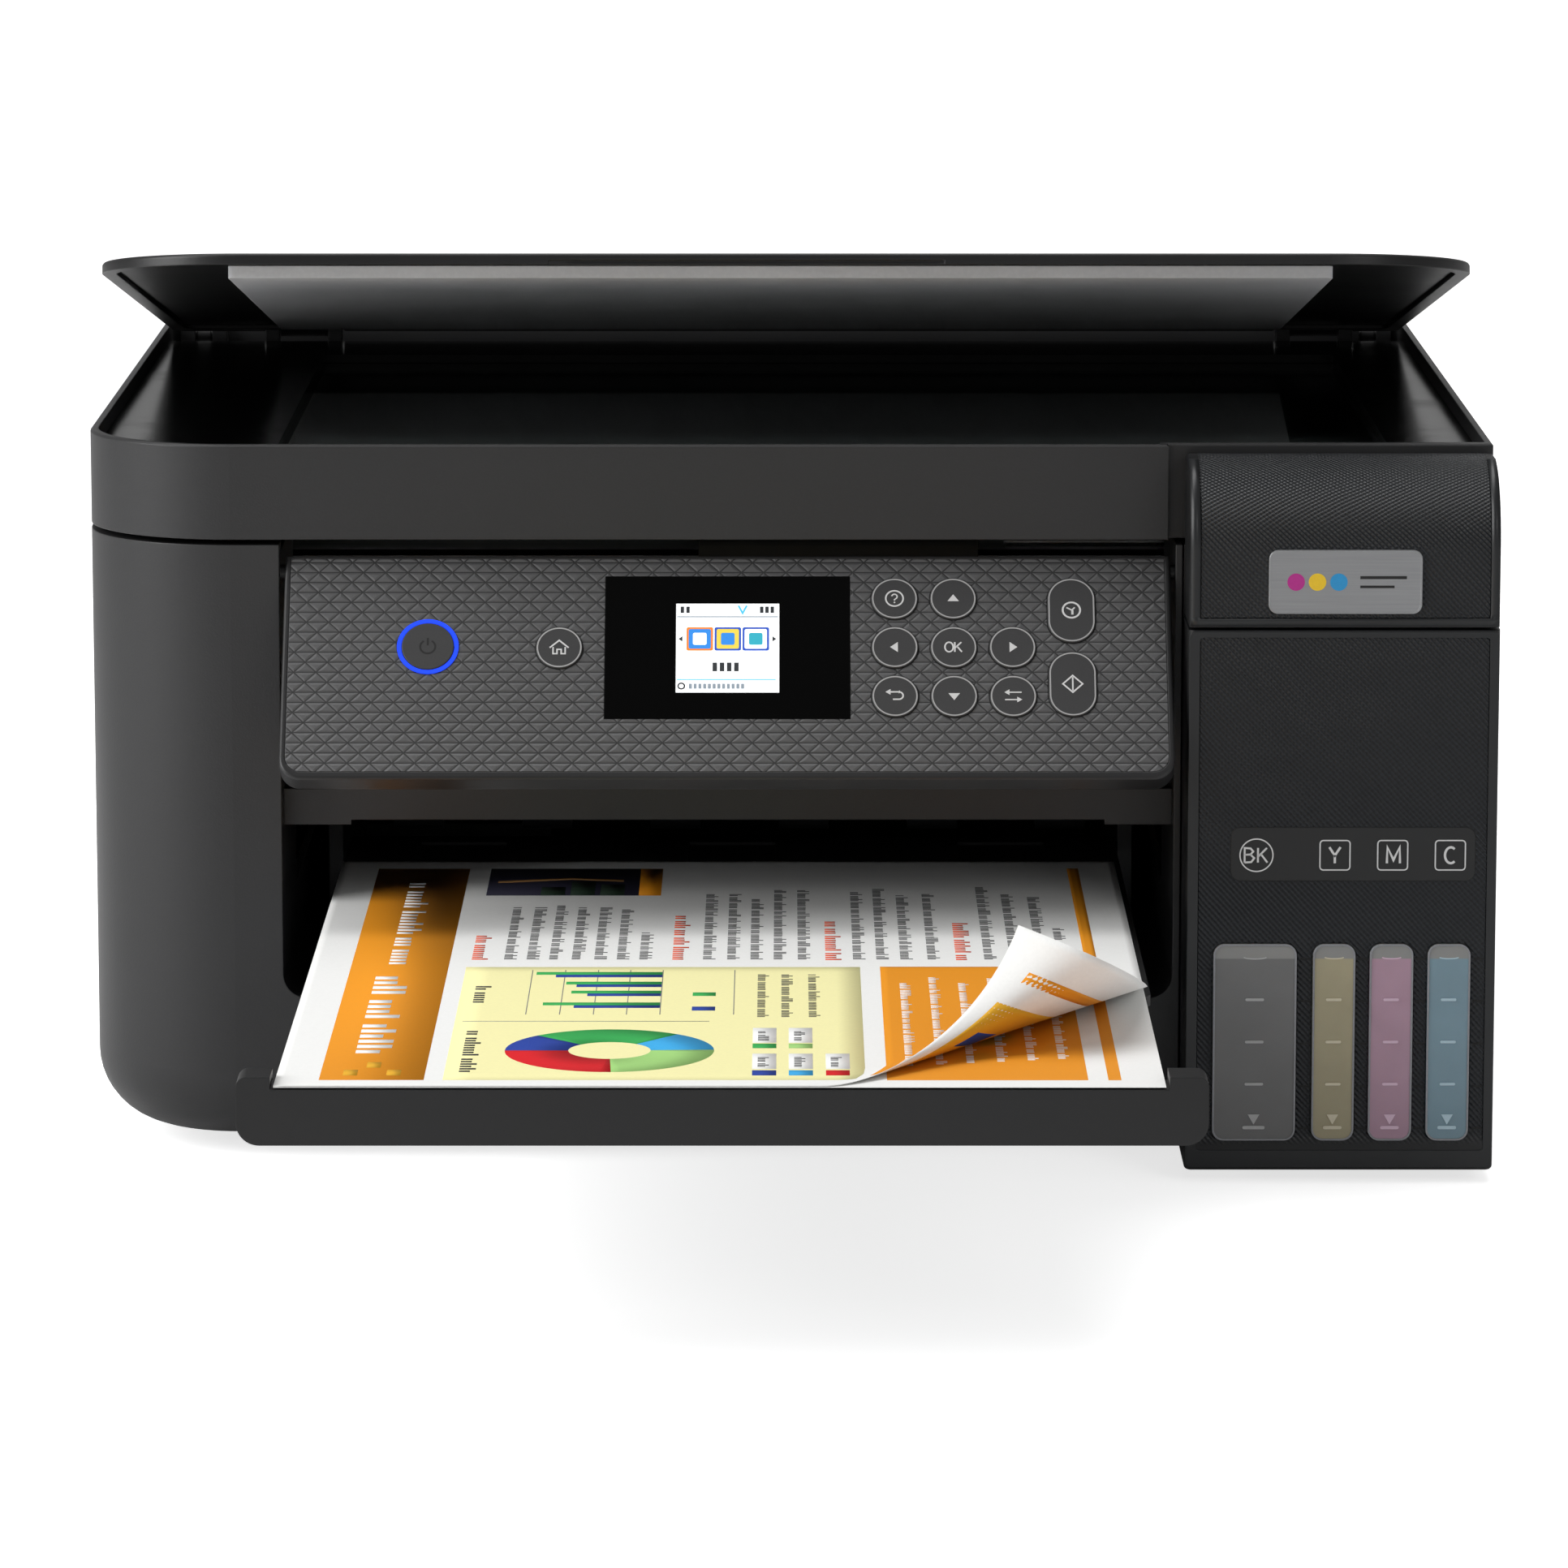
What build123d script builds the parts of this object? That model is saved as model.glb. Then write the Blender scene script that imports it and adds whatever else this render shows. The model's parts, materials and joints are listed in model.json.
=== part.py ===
"""Ink-tank inkjet printer with a flatbed scanner, as an assembly of separate pieces.

Millimetres. X runs to the user's right, Y away from the user, Z up, and Z = 0 is the table.
While the pieces are modelled, Y = 0 is the front face of the scanner. When a piece is saved it
is moved back by ORIGIN_Y, so that the origin is the middle of the whole printer's footprint,
with the output tray pulled out and the lid ajar.
"""
from build123d import *
from math import cos, radians, sin
import os

os.makedirs("parts", exist_ok=True)

# ---------------------------------------------------------------- driving dimensions
HALF_WIDTH = 187.5            # the printer is 375 wide
CASE_BACK = 321.0             # rear face
WALL = 2.4                    # moulded case wall
CASE_BOTTOM = 4.5             # underside of the lower case, which stands on its feet
CASE_TOP = 167.4              # top of the lower case, under the scanner
RIM_TOP = 194.2               # top of the scanner's rim
FRONT_CORNER = 40.0           # upright edge at the front left
REAR_CORNER = 24.0
BOTTOM_ROUND = 20.0           # rounding along the bottom of the case

CAVITY_X = (-134.6, 103.4)    # output cavity, and the opening that the control panel closes
CAVITY_FLOOR = 45.0
CAVITY_DEPTH = 235.0
CAVITY_CORNER = 6.5

TANK_X = (105.6, 187.5)       # ink tank unit at the front right
TANK_FRONT = -26.0
TANK_BACK = 60.6
TANK_BOTTOM = 3.5
TANK_SEAM = 148.5             # where the tank cover meets the housing
TANK_TOP = 192.0

SCANNER_BOTTOM = 168.9
SCANNER_BACK = 302.0
SCANNER_HINGE = (298.0, 190.0)        # Y and Z of the axis at the back
BED_TOP = 190.0

SCANNER_POSTS = (-176.0, 176.0)       # X of the two posts that carry the scanner's hinge pins
SCANNER_PIN = 1.5

LID_HALF_WIDTH = 184.5
LID_FRONT = 6.0               # with the lid closed
LID_BACK = 291.0
LID_UNDERSIDE = 192.4
LID_THICKNESS = 3.0
LID_HINGE = (287.3, 194.0)
LID_AJAR = 9.96               # degrees that the lid stands open at rest

PANEL_X = (-133.0, 102.0)
PANEL_TOP = (3.0, 164.0)      # Y and Z of the upper edge of the panel's face
PANEL_LENGTH = 66.5           # down the face
PANEL_THICKNESS = 8.0
PANEL_TILT = 37.0             # degrees from upright at rest
FACE_THICKNESS = 1.6

LIP_FRONT = -235.0            # front face of the output tray's lip, pulled out
SHEET_X = (-121.8, 90.2)
SHEET_BACK = LIP_FRONT + 297.0

RUNNING = 0.05                # radial clearance of a shaft in its bore

ORIGIN_Y = (LIP_FRONT + CASE_BACK) / 2


# ---------------------------------------------------------------- helpers
FROM_ONE_END = (Align.CENTER, Align.CENTER, Align.MIN)


def block(x, y, z):
    """A box over the ranges x, y and z, each given as (low, high)."""
    size = [high - low for low, high in (x, y, z)]
    return Pos(x[0], y[0], z[0]) * Box(*size, align=(Align.MIN,) * 3)


def upright_edge(body, x, y):
    """The upright edge of a body nearest to the place x, y."""
    return body.edges().filter_by(Axis.Z).sort_by_distance((x, y, body.center().Z))[0]


def slab(x, y, z, front_left=0, front_right=0, back_left=0, back_right=0):
    """A block with rounded upright edges."""
    body = block(x, y, z)
    corners = [
        (x[0], y[0], front_left),
        (x[1], y[0], front_right),
        (x[0], y[1], back_left),
        (x[1], y[1], back_right),
    ]
    for corner_x, corner_y, radius in corners:
        if radius:
            body = fillet(upright_edge(body, corner_x, corner_y), radius)
    return body


def rod_x(radius, x, y, z):
    """A round bar along X, over the range x."""
    return Pos(x[0], y, z) * Rot(0, 90, 0) * Cylinder(radius, x[1] - x[0], align=FROM_ONE_END)


def rod_y(radius, x, y, z):
    """A round bar along Y, over the range y."""
    return Pos(x, y[0], z) * Rot(-90, 0, 0) * Cylinder(radius, y[1] - y[0], align=FROM_ONE_END)


def rod_z(radius, x, y, z):
    """A round bar along Z, over the range z."""
    return Pos(x, y, z[0]) * Cylinder(radius, z[1] - z[0], align=FROM_ONE_END)


def extrude_along_x(profile, x):
    """Extrudes a profile drawn in Y and Z over the range x."""
    return extrude(Plane.YZ.offset(x[0]) * profile, x[1] - x[0])


def extrude_along_y(profile, y):
    """Extrudes a profile drawn in X and Z over the range y."""
    back = Plane(origin=(0, y[1], 0), x_dir=(1, 0, 0), z_dir=(0, -1, 0))
    return extrude(back * profile, y[1] - y[0])


def middle(pair):
    return (pair[0] + pair[1]) / 2


def grown(pair, amount):
    """A range made longer by an amount at each end."""
    return pair[0] - amount, pair[1] + amount


def turn_about_x(shape, y, z, degrees):
    """Turns a shape about the line through y, z along X."""
    return Pos(0, y, z) * Rot(degrees, 0, 0) * Pos(0, -y, -z) * shape


def save(name, *shapes):
    """Writes one node, moved into the printer's own frame."""
    solids = [solid for shape in shapes for solid in shape.solids()]
    whole = solids[0] if len(solids) == 1 else Compound(children=solids)
    export_step(Pos(0, -ORIGIN_Y, 0) * whole, f"parts/{name}.step")


# ---------------------------------------------------------------- lower case
NOTCH_X = 105.2               # the tank unit stands in a notch of the case
NOTCH_BACK = 61.0
FEEDER_FRONT = 304.0          # the raised part at the back holds the sheet feeder
SLOT_X = (-113.0, 113.0)
SLOT_Y = (306.2, 318.3)
USB_X = (144.0, 158.0)
USB_Z = (29.0, 43.0)
INLET_X = (-151.0, -127.0)
INLET_Z = (17.0, 35.0)
SOCKET_Y = (310.0, 330.0)     # the two sockets open through the rear wall
PANEL_PIN_RADIUS = 2.0
CHEEK_BACK = 60.0
TROUGH_TOP = 66.0             # side walls of the cavity's floor, behind the cheeks
TUBE_Z = 24.0                 # height at which the ink tubes leave the tanks
TUBE_HOLE_RADIUS = 3.0
TOP_OPENING_X = (-178.0, 178.0)       # the case is open on top, under the scanner
TOP_OPENING_FRONT = 10.0
TOP_OPENING_BACK = 296.0
TOP_OPENING_RIGHT = 100.0     # where the opening ends beside the tank unit
PAN_TOP = CASE_BOTTOM + WALL + 1.6
BASE_X = (-155.0, 95.0)       # opening in the bottom, which the base pan closes
BASE_Y = (35.0, 285.0)
PAN_GAP = 0.2
PAN_LIP = 6.0
FOOT_PLACES = [(-140, 50), (80, 50), (-140, 270), (80, 270)]
FOOT_RADIUS = 8.0
SCREW_PLACES = [(-100, 60), (40, 60), (-60, 260), (40, 260)]
SCREW_RADIUS = 1.5
SCREW_HEAD_RADIUS = 3.0
SCREW_LENGTH = 10.0


def panel_hinge_place():
    """Y and Z of the control panel's hinge: 2 below its upper edge and 5 behind its face."""
    tilt = radians(PANEL_TILT)
    along, behind = 2.0, 5.0
    y = PANEL_TOP[0] - along * sin(tilt) + behind * cos(tilt)
    z = PANEL_TOP[1] - along * cos(tilt) - behind * sin(tilt)
    return y, z


PANEL_HINGE = panel_hinge_place()


def case_form(inset, bottom, top):
    """The outer form of the case, drawn in by inset, with its rounded bottom."""
    x = (-HALF_WIDTH + inset, HALF_WIDTH - inset)
    y = (inset, CASE_BACK - inset)
    rear = REAR_CORNER - inset
    body = slab(x, y, (bottom, top), FRONT_CORNER - inset, rear, rear, rear)
    bottom_edges = body.faces().sort_by(Axis.Z)[0].edges()
    return fillet(bottom_edges, BOTTOM_ROUND - inset)


def cavity_cut():
    """The output cavity and the opening above it, as one cut from the front."""
    cut = block(CAVITY_X, (-1, CAVITY_DEPTH), (CAVITY_FLOOR, CASE_TOP + 1))
    lower_edges = cut.edges().filter_by(Axis.Y).sort_by(Axis.Z)[:2]
    return fillet(lower_edges, CAVITY_CORNER)


def lower_case():
    outer = case_form(0, CASE_BOTTOM, RIM_TOP)
    outer -= block((-200, 200), (-1, FEEDER_FRONT), (CASE_TOP, 200))
    outer -= block((NOTCH_X, 200), (-1, NOTCH_BACK), (0, 200))
    inner = case_form(WALL, CASE_BOTTOM + WALL, CASE_TOP - WALL)
    inner -= block((CAVITY_X[1], 200), (0, NOTCH_BACK + WALL), (0, 200))
    case = outer - inner
    through_top = (CASE_TOP - 5, CASE_TOP + 1)
    case -= block(TOP_OPENING_X, (NOTCH_BACK + 5, TOP_OPENING_BACK), through_top)
    case -= slab((TOP_OPENING_X[0], TOP_OPENING_RIGHT), (TOP_OPENING_FRONT, NOTCH_BACK + 6), through_top,
                 front_left=FRONT_CORNER - TOP_OPENING_FRONT)
    case -= block(SLOT_X, SLOT_Y, (CASE_TOP - 5, RIM_TOP + 1))
    case -= block(BASE_X, BASE_Y, (0, CASE_BOTTOM + 5))
    cheeks = block((CAVITY_X[0] - 2, NOTCH_X), (WALL, CHEEK_BACK), (CAVITY_FLOOR - 2, CASE_TOP - WALL))
    trough = block((CAVITY_X[0] - 2, NOTCH_X), (CHEEK_BACK, CAVITY_DEPTH), (CAVITY_FLOOR - 2, TROUGH_TOP))
    case = case + cheeks + trough - cavity_cut()
    case -= rod_x(PANEL_PIN_RADIUS + RUNNING, (-140, 110), *PANEL_HINGE)
    case -= block(USB_X, SOCKET_Y, USB_Z)
    case -= block(INLET_X, SOCKET_Y, INLET_Z)
    for tank in TANKS.values():
        case -= rod_y(TUBE_HOLE_RADIUS, middle(tank["window"]), (NOTCH_BACK - 1, NOTCH_BACK + 4), TUBE_Z)
    for x in SCANNER_POSTS:
        case += hinge_post(x)
    return case


POST_HALF = 2.0               # half of a post's width
PIN_HALF = 4.8                # half of a pin's length
PIN_BORE_HALF = 5.0
CHEEK_HALF = 7.0              # half of the width over a pair of cheeks


def hinge_post(x):
    """A post on the case's top edge, with a pin across it that the scanner unit turns on."""
    y, z = SCANNER_HINGE
    width = (x - POST_HALF, x + POST_HALF)
    post = block(width, (y - 1.8, y + 2), (CASE_TOP - WALL, z))
    post += rod_x(2.2, width, y, z)
    return post + rod_x(SCANNER_PIN, (x - PIN_HALF, x + PIN_HALF), y, z)


def hinge_cheeks(x):
    """The two cheeks in the scanner's trough that hold one of the pins."""
    y, z = SCANNER_HINGE
    cheeks = block((x - CHEEK_HALF, x + CHEEK_HALF), (y - 3, SCANNER_BACK - 2.2), (BED_TOP - 6, z + 3))
    return cheeks - rod_x(SCANNER_PIN + RUNNING, (x - PIN_BORE_HALF, x + PIN_BORE_HALF), y, z)


def base_pan():
    """The pan closes the bottom of the case, with a lip inside it."""
    pan = block(grown(BASE_X, -PAN_GAP), grown(BASE_Y, -PAN_GAP), (CASE_BOTTOM, CASE_BOTTOM + WALL))
    pan += block(grown(BASE_X, PAN_LIP), grown(BASE_Y, PAN_LIP), (CASE_BOTTOM + WALL, PAN_TOP))
    for x, y in SCREW_PLACES:
        pan -= rod_z(SCREW_RADIUS + 0.1, x, y, (0, PAN_TOP + 1))
        pan -= rod_z(SCREW_HEAD_RADIUS + 0.4, x, y, (0, CASE_BOTTOM + 2))
    return pan


def rubber_feet():
    """Round feet, a little rounded where they meet the table."""
    feet = []
    for x, y in FOOT_PLACES:
        foot = rod_z(FOOT_RADIUS, x, y, (0, CASE_BOTTOM))
        feet.append(fillet(foot.faces().sort_by(Axis.Z)[0].edges(), 1))
    return feet


def case_screws():
    """Pan-head screws that hold the base pan, each with a crossed slot in its head."""
    slot_half_length, slot_half_width = 1.8, 0.4
    seat = CASE_BOTTOM + 2
    slot_z = (0, CASE_BOTTOM + 1.2)
    screws = []
    for x, y in SCREW_PLACES:
        lengthwise = [(at - slot_half_length, at + slot_half_length) for at in (x, y)]
        crosswise = [(at - slot_half_width, at + slot_half_width) for at in (x, y)]
        head = rod_z(SCREW_HEAD_RADIUS, x, y, (CASE_BOTTOM + 0.4, seat))
        head -= block(lengthwise[0], crosswise[1], slot_z)
        head -= block(crosswise[0], lengthwise[1], slot_z)
        screws.append(head + rod_z(SCREW_RADIUS, x, y, (seat, seat + SCREW_LENGTH)))
    return screws


def inner_crossbar():
    """The bar across the top of the output cavity, a little deeper at its ends."""
    y = (10, 18)
    bottom, end_bottom, end_length = 91.7, 90.4, 18
    bar = block(CAVITY_X, y, (bottom, 100.2))
    for x in ((CAVITY_X[0], CAVITY_X[0] + end_length), (CAVITY_X[1] - end_length, CAVITY_X[1])):
        bar += block(x, y, (end_bottom, bottom))
    return bar


# ---------------------------------------------------------------- sheet feeder at the back
def paper_support():
    """A plate that slides up out of the feed slot, with a finger tab on its upper edge."""
    plate = slab((-105, 105), (315.0, 317.8), (58, 192.6))
    upper = plate.edges().filter_by(Axis.Y).sort_by(Axis.Z)[-2:]
    plate = fillet(upper, 6)
    return plate - block((-20, 20), (314, 315.8), (186, 190))


def feeder_flap():
    """A narrow flap over the front of the feed slot, hinged along its front edge."""
    flap = block((-112.6, 112.6), (306.6, 314.4), (192.4, RIM_TOP))
    return fillet(flap.edges().filter_by(Axis.X).sort_by(Axis.Z)[-2:], 0.6)


# ---------------------------------------------------------------- print mechanism
ROD_Y, ROD_Z, ROD_RADIUS = 200.0, 128.0, 4.0
FRAME_X = 174.0
FRAME_BACK = (236.0, 237.6)
BELT_Z = 140.0
BELT_X = 156.0
PULLEY_RADIUS = 6.0
MOTOR_SHAFT_RADIUS = 2.0
CARRIAGE_X = (-25.0, 55.0)
BELT_GAP = 0.3
BELT_THICKNESS = 1.2
BELT_Y = (226.5, 231.5)
FEED_Y, FEED_Z = 205.0, 78.0
FEED_SHAFT_RADIUS = 4.0
EXIT_Y, EXIT_Z = 108.0, 78.0
EXIT_SHAFT_RADIUS = 3.0
FEED_MOTOR_Y, FEED_MOTOR_Z = 150.0, 60.0
PLATEN_LEGS = ((-128.0, -124.0), (92.8, 96.8))
FEED_BELT_X = (-148.5, -143.5)
FEED_PULLEY_RADIUS = 18.0


def guide_frame():
    """Folded steel frame: a back plate and two side plates that carry the guide rod."""
    frame = block((-FRAME_X, FRAME_X), FRAME_BACK, (95, 158))
    for side in (-1, 1):
        x = sorted((side * (FRAME_X - 2), side * FRAME_X))
        frame += block(x, (150, FRAME_BACK[1]), (24, 158))
    frame -= rod_x(ROD_RADIUS, (-180, 180), ROD_Y, ROD_Z)
    frame -= rod_y(5, -BELT_X, (230, 240), BELT_Z)
    frame += rod_y(PULLEY_RADIUS, BELT_X, (225, 236.5), BELT_Z)
    return frame


def guide_rod():
    return rod_x(ROD_RADIUS, (-FRAME_X, FRAME_X), ROD_Y, ROD_Z)


def belt_profile(first, second, radius_first, radius_second):
    """The profile of a flat belt round two pulleys."""
    def loop(extra):
        circles = Pos(*first) * Circle(radius_first + extra) + Pos(*second) * Circle(radius_second + extra)
        return make_hull(circles.edges())
    return loop(BELT_GAP + BELT_THICKNESS) - loop(BELT_GAP)


def carriage_belt():
    profile = belt_profile((-BELT_X, BELT_Z), (BELT_X, BELT_Z), PULLEY_RADIUS, PULLEY_RADIUS)
    return extrude_along_y(profile, BELT_Y)


def carriage_motor():
    body = rod_y(17, -BELT_X, (FRAME_BACK[1], 262), BELT_Z)
    return body - rod_y(MOTOR_SHAFT_RADIUS + RUNNING, -BELT_X, (230, 256), BELT_Z)


def carriage_pulley():
    """Toothed pulley on the carriage motor's shaft."""
    pulley = rod_y(PULLEY_RADIUS, -BELT_X, (BELT_Y[0], 232), BELT_Z)
    pulley += rod_y(PULLEY_RADIUS + 1.5, -BELT_X, (225.6, 226.2), BELT_Z)
    pulley += rod_y(PULLEY_RADIUS, -BELT_X, (226.2, BELT_Y[0]), BELT_Z)
    return pulley + rod_y(MOTOR_SHAFT_RADIUS, -BELT_X, (232, 254), BELT_Z)


def print_carriage():
    """Carriage on the guide rod, with a dust cover step and a belt clamp behind."""
    body = block(CARRIAGE_X, (158, 222), (100, 150))
    body = fillet(body.edges().filter_by(Axis.X).sort_by(Axis.Z)[-2:], 5)
    body -= rod_x(ROD_RADIUS + RUNNING, (-60, 90), ROD_Y, ROD_Z)
    body += block((0, 30), (222, 225), (132, 148))
    return body


def print_head():
    """Four-colour head under the carriage, with its nozzle plate."""
    head = block((-15, 45), (162, 190), (92, 100))
    return head + block((-8, 38), (166, 186), (90, 92))


def platen():
    """Bridge that carries the paper under the head, with ribs and roller bearings in its legs."""
    deck = block((PLATEN_LEGS[0][1], PLATEN_LEGS[1][0]), (118, 196), (80, 83))
    for rib in range(11):
        x = -120 + rib * 21
        deck += block((x, x + 3), (120, 194), (83, 84.5))
    for x in PLATEN_LEGS:
        leg = block(x, (100, 214), (CAVITY_FLOOR, 85))
        leg -= rod_x(FEED_SHAFT_RADIUS + RUNNING, (-140, 110), FEED_Y, FEED_Z)
        leg -= rod_x(EXIT_SHAFT_RADIUS + RUNNING, (-140, 110), EXIT_Y, EXIT_Z)
        deck += leg
    return deck


def feed_roller():
    """Feed shaft with its grit sleeves and, outside the left leg, its pulley."""
    roller = rod_x(FEED_SHAFT_RADIUS, (-152, 101.5), FEED_Y, FEED_Z)
    for x in (-112, -64, -16, 32):
        roller += rod_x(6.6, (x, x + 40), FEED_Y, FEED_Z)
    return roller + rod_x(FEED_PULLEY_RADIUS, (-150, -142), FEED_Y, FEED_Z)


def exit_roller():
    """Exit shaft with its rubber sleeves."""
    roller = rod_x(EXIT_SHAFT_RADIUS, (-133.5, 101.5), EXIT_Y, EXIT_Z)
    for number in range(6):
        x = -110 + number * 36
        roller += rod_x(6, (x, x + 14), EXIT_Y, EXIT_Z)
    return roller


def feed_motor():
    body = rod_x(15, (-171, -152.4), FEED_MOTOR_Y, FEED_MOTOR_Z)
    return body - rod_x(MOTOR_SHAFT_RADIUS + RUNNING, (-168, -150), FEED_MOTOR_Y, FEED_MOTOR_Z)


def feed_pulley():
    """Small pulley on the feed motor's shaft."""
    pulley = rod_x(PULLEY_RADIUS, (-150, -142), FEED_MOTOR_Y, FEED_MOTOR_Z)
    return pulley + rod_x(MOTOR_SHAFT_RADIUS, (-166, -150), FEED_MOTOR_Y, FEED_MOTOR_Z)


def feed_belt():
    profile = belt_profile((FEED_MOTOR_Y, FEED_MOTOR_Z), (FEED_Y, FEED_Z), PULLEY_RADIUS, FEED_PULLEY_RADIUS)
    return extrude_along_x(profile, FEED_BELT_X)


def capping_station():
    """Post and tray where the head parks, with a sealing cap on top."""
    station = block((112, 168), (158, 200), (62, 82))
    station -= block((116, 164), (162, 196), (72, 83))
    station += block((120, 160), (164, 190), (72, 88))
    station -= block((124, 156), (168, 186), (84, 89))
    return station + block((130, 150), (170, 190), (CASE_BOTTOM + WALL, 62))


def main_board():
    """Circuit board on edge at the right, with its chips and the USB socket at the back."""
    board = block((155, 156.6), (240, 300), (30, 130))
    for y, z, size in ((255, 60, 18), (280, 85, 12), (257, 100, 10), (285, 115, 8)):
        board += block((153, 155), (y, y + size), (z, z + size))
    socket = block((145, 157), (300, 320.6), (30, 42))
    return board + socket - block((147, 155), (311, 322), (32, 40))


def power_supply():
    """Enclosed supply with a two-pin inlet that shows in the rear face."""
    box = fillet(block((-160, -70), (240, 300), (PAN_TOP, 50)).edges().filter_by(Axis.Y), 3)
    inlet = block((-150, -128), (300, 320.6), (18, 34))
    recess = fillet(block((-147, -131), (311, 322), (21.5, 30.5)).edges().filter_by(Axis.Y), 4)
    inlet -= recess
    for x in (-143, -135):
        inlet += rod_y(1.2, x, (310.8, 318), 26)
    return box + inlet


# ---------------------------------------------------------------- ink tank unit
TANKS = {
    "black": dict(window=(112.9, 134.9), body=(109.6, 138.0)),
    "yellow": dict(window=(139.2, 150.4), body=(138.6, 151.4)),
    "magenta": dict(window=(154.2, 165.7), body=(152.2, 166.8)),
    "cyan": dict(window=(169.5, 180.8), body=(167.6, 183.4)),
}
WINDOW_Z = (11.8, 64.8)
WINDOW_CORNER = 3.0
TANK_BODY_Y = (-23.6, 56.0)
TANK_BODY_Z = (9.0, 128.0)
NECK_Y = -12.0
NECK_RADIUS = 4.5
OUTLET_RADIUS = 2.4
TUBE_RADIUS = 1.8
TUBE_BORE_RADIUS = 1.0
COVER_HINGE = (-4.5, 187.5)
COVER_PIN = 1.2
COVER_ROUND = 22.0
POST_X = ((108.6, 111.4), (181.7, 184.5))


def window_form(x, y, grow=0.0):
    """The rounded form of one tank's window, between the depths y."""
    form = block((x[0] - grow, x[1] + grow), y, (WINDOW_Z[0] - grow, WINDOW_Z[1] + grow))
    return fillet(form.edges().filter_by(Axis.Y), WINDOW_CORNER + grow)


def tank_housing():
    """Case of the tank unit: it holds the tanks behind its windows and carries the cover's hinge."""
    housing = block(TANK_X, (TANK_FRONT, TANK_BACK), (TANK_BOTTOM, TANK_SEAM))
    housing = fillet(housing.edges().filter_by(Axis.Z).sort_by(Axis.Y)[:2], 2)
    housing = fillet(housing.faces().sort_by(Axis.Z)[0].edges().sort_by(Axis.Y)[0], 1.2)
    inside_x = grown(TANK_X, -2)
    housing -= block(inside_x, (TANK_FRONT + 2.2, TANK_BACK - 2), (TANK_BOTTOM + 2, TANK_SEAM - 2))
    back_top = block(TANK_X, (0.4, TANK_BACK), (TANK_SEAM, CASE_TOP))
    back_top -= block(inside_x, (1.9, TANK_BACK - 2), (TANK_SEAM - 3, CASE_TOP - 2))
    housing += back_top
    housing += block((TANK_X[0] + 2.4, TANK_X[1] - 2.4), (0.4, 1.9), (CASE_TOP, 183.5))
    for x, outward in zip(POST_X, (-1, 1)):
        post = block(x, (-6.5, -2.8), (TANK_SEAM - 1, COVER_HINGE[1]))
        post += rod_x(2.0, x, *COVER_HINGE)
        pin_x = sorted((middle(x), x[0] - 2.2 if outward < 0 else x[1] + 2.2))
        housing += post + rod_x(COVER_PIN, pin_x, *COVER_HINGE)
    for tank in TANKS.values():
        housing -= window_form(tank["window"], (TANK_FRONT - 1, TANK_FRONT + 3), 0.2)
        housing -= rod_z(NECK_RADIUS + 0.3, middle(tank["window"]), NECK_Y, (TANK_SEAM - 4, TANK_SEAM + 1))
        housing -= rod_y(OUTLET_RADIUS + 0.2, middle(tank["window"]), (TANK_BACK - 4, TANK_BACK + 1), TUBE_Z)
    return housing


def ink_tank(tank):
    """Hollow ink tank: its window stands in the housing's front, its neck comes up through the top."""
    wall = 1.5
    x = tank["body"]
    centre = middle(tank["window"])
    shell = block(x, TANK_BODY_Y, TANK_BODY_Z)
    shell += window_form(tank["window"], (TANK_FRONT - 0.6, TANK_BODY_Y[0] + 1))
    shell += rod_z(NECK_RADIUS, centre, NECK_Y, (TANK_BODY_Z[1], TANK_SEAM + 6))
    shell += rod_y(OUTLET_RADIUS, centre, (TANK_BODY_Y[1], TANK_BACK + 2), TUBE_Z)
    ink_space = block((x[0] + wall, x[1] - wall), (TANK_BODY_Y[0] + wall, TANK_BODY_Y[1] - wall),
                      (TANK_BODY_Z[0] + wall, TANK_BODY_Z[1] - wall))
    filler = rod_z(NECK_RADIUS - 1.5, centre, NECK_Y, (TANK_BODY_Z[1] - wall - 1, TANK_SEAM + 7))
    outlet_y = (TANK_BODY_Y[1] - wall - 1, TANK_BACK + 3)
    outlet = rod_y(TUBE_BORE_RADIUS, centre, outlet_y, TUBE_Z)
    return shell - ink_space - filler - outlet


def tank_caps():
    """Flip caps that seal the filler necks, each with a finger tab towards the user."""
    caps = []
    for tank in TANKS.values():
        x = middle(tank["window"])
        cap = rod_z(NECK_RADIUS + 1.4, x, NECK_Y, (TANK_SEAM + 0.2, TANK_SEAM + 8.5))
        cap -= rod_z(NECK_RADIUS, x, NECK_Y, (TANK_SEAM, TANK_SEAM + 6))
        cap += block((x - 2.5, x + 2.5), (NECK_Y - 9.5, NECK_Y - 4), (TANK_SEAM + 6.5, TANK_SEAM + 8.5))
        caps.append(cap)
    return caps


def cover_form(inset, x, back):
    """Side profile of the tank cover, drawn in by inset, extruded over the range x."""
    front = TANK_FRONT + inset
    top = TANK_TOP - inset
    radius = COVER_ROUND - inset
    bottom = TANK_SEAM + 0.8 - (1 if inset else 0)
    outline = Polyline((back, bottom), (front, bottom), (front, top - radius))
    outline += RadiusArc((front, top - radius), (front + radius, top), radius)
    outline += Polyline((front + radius, top), (back, top), (back, bottom))
    return extrude_along_x(make_face(outline), x)


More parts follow.
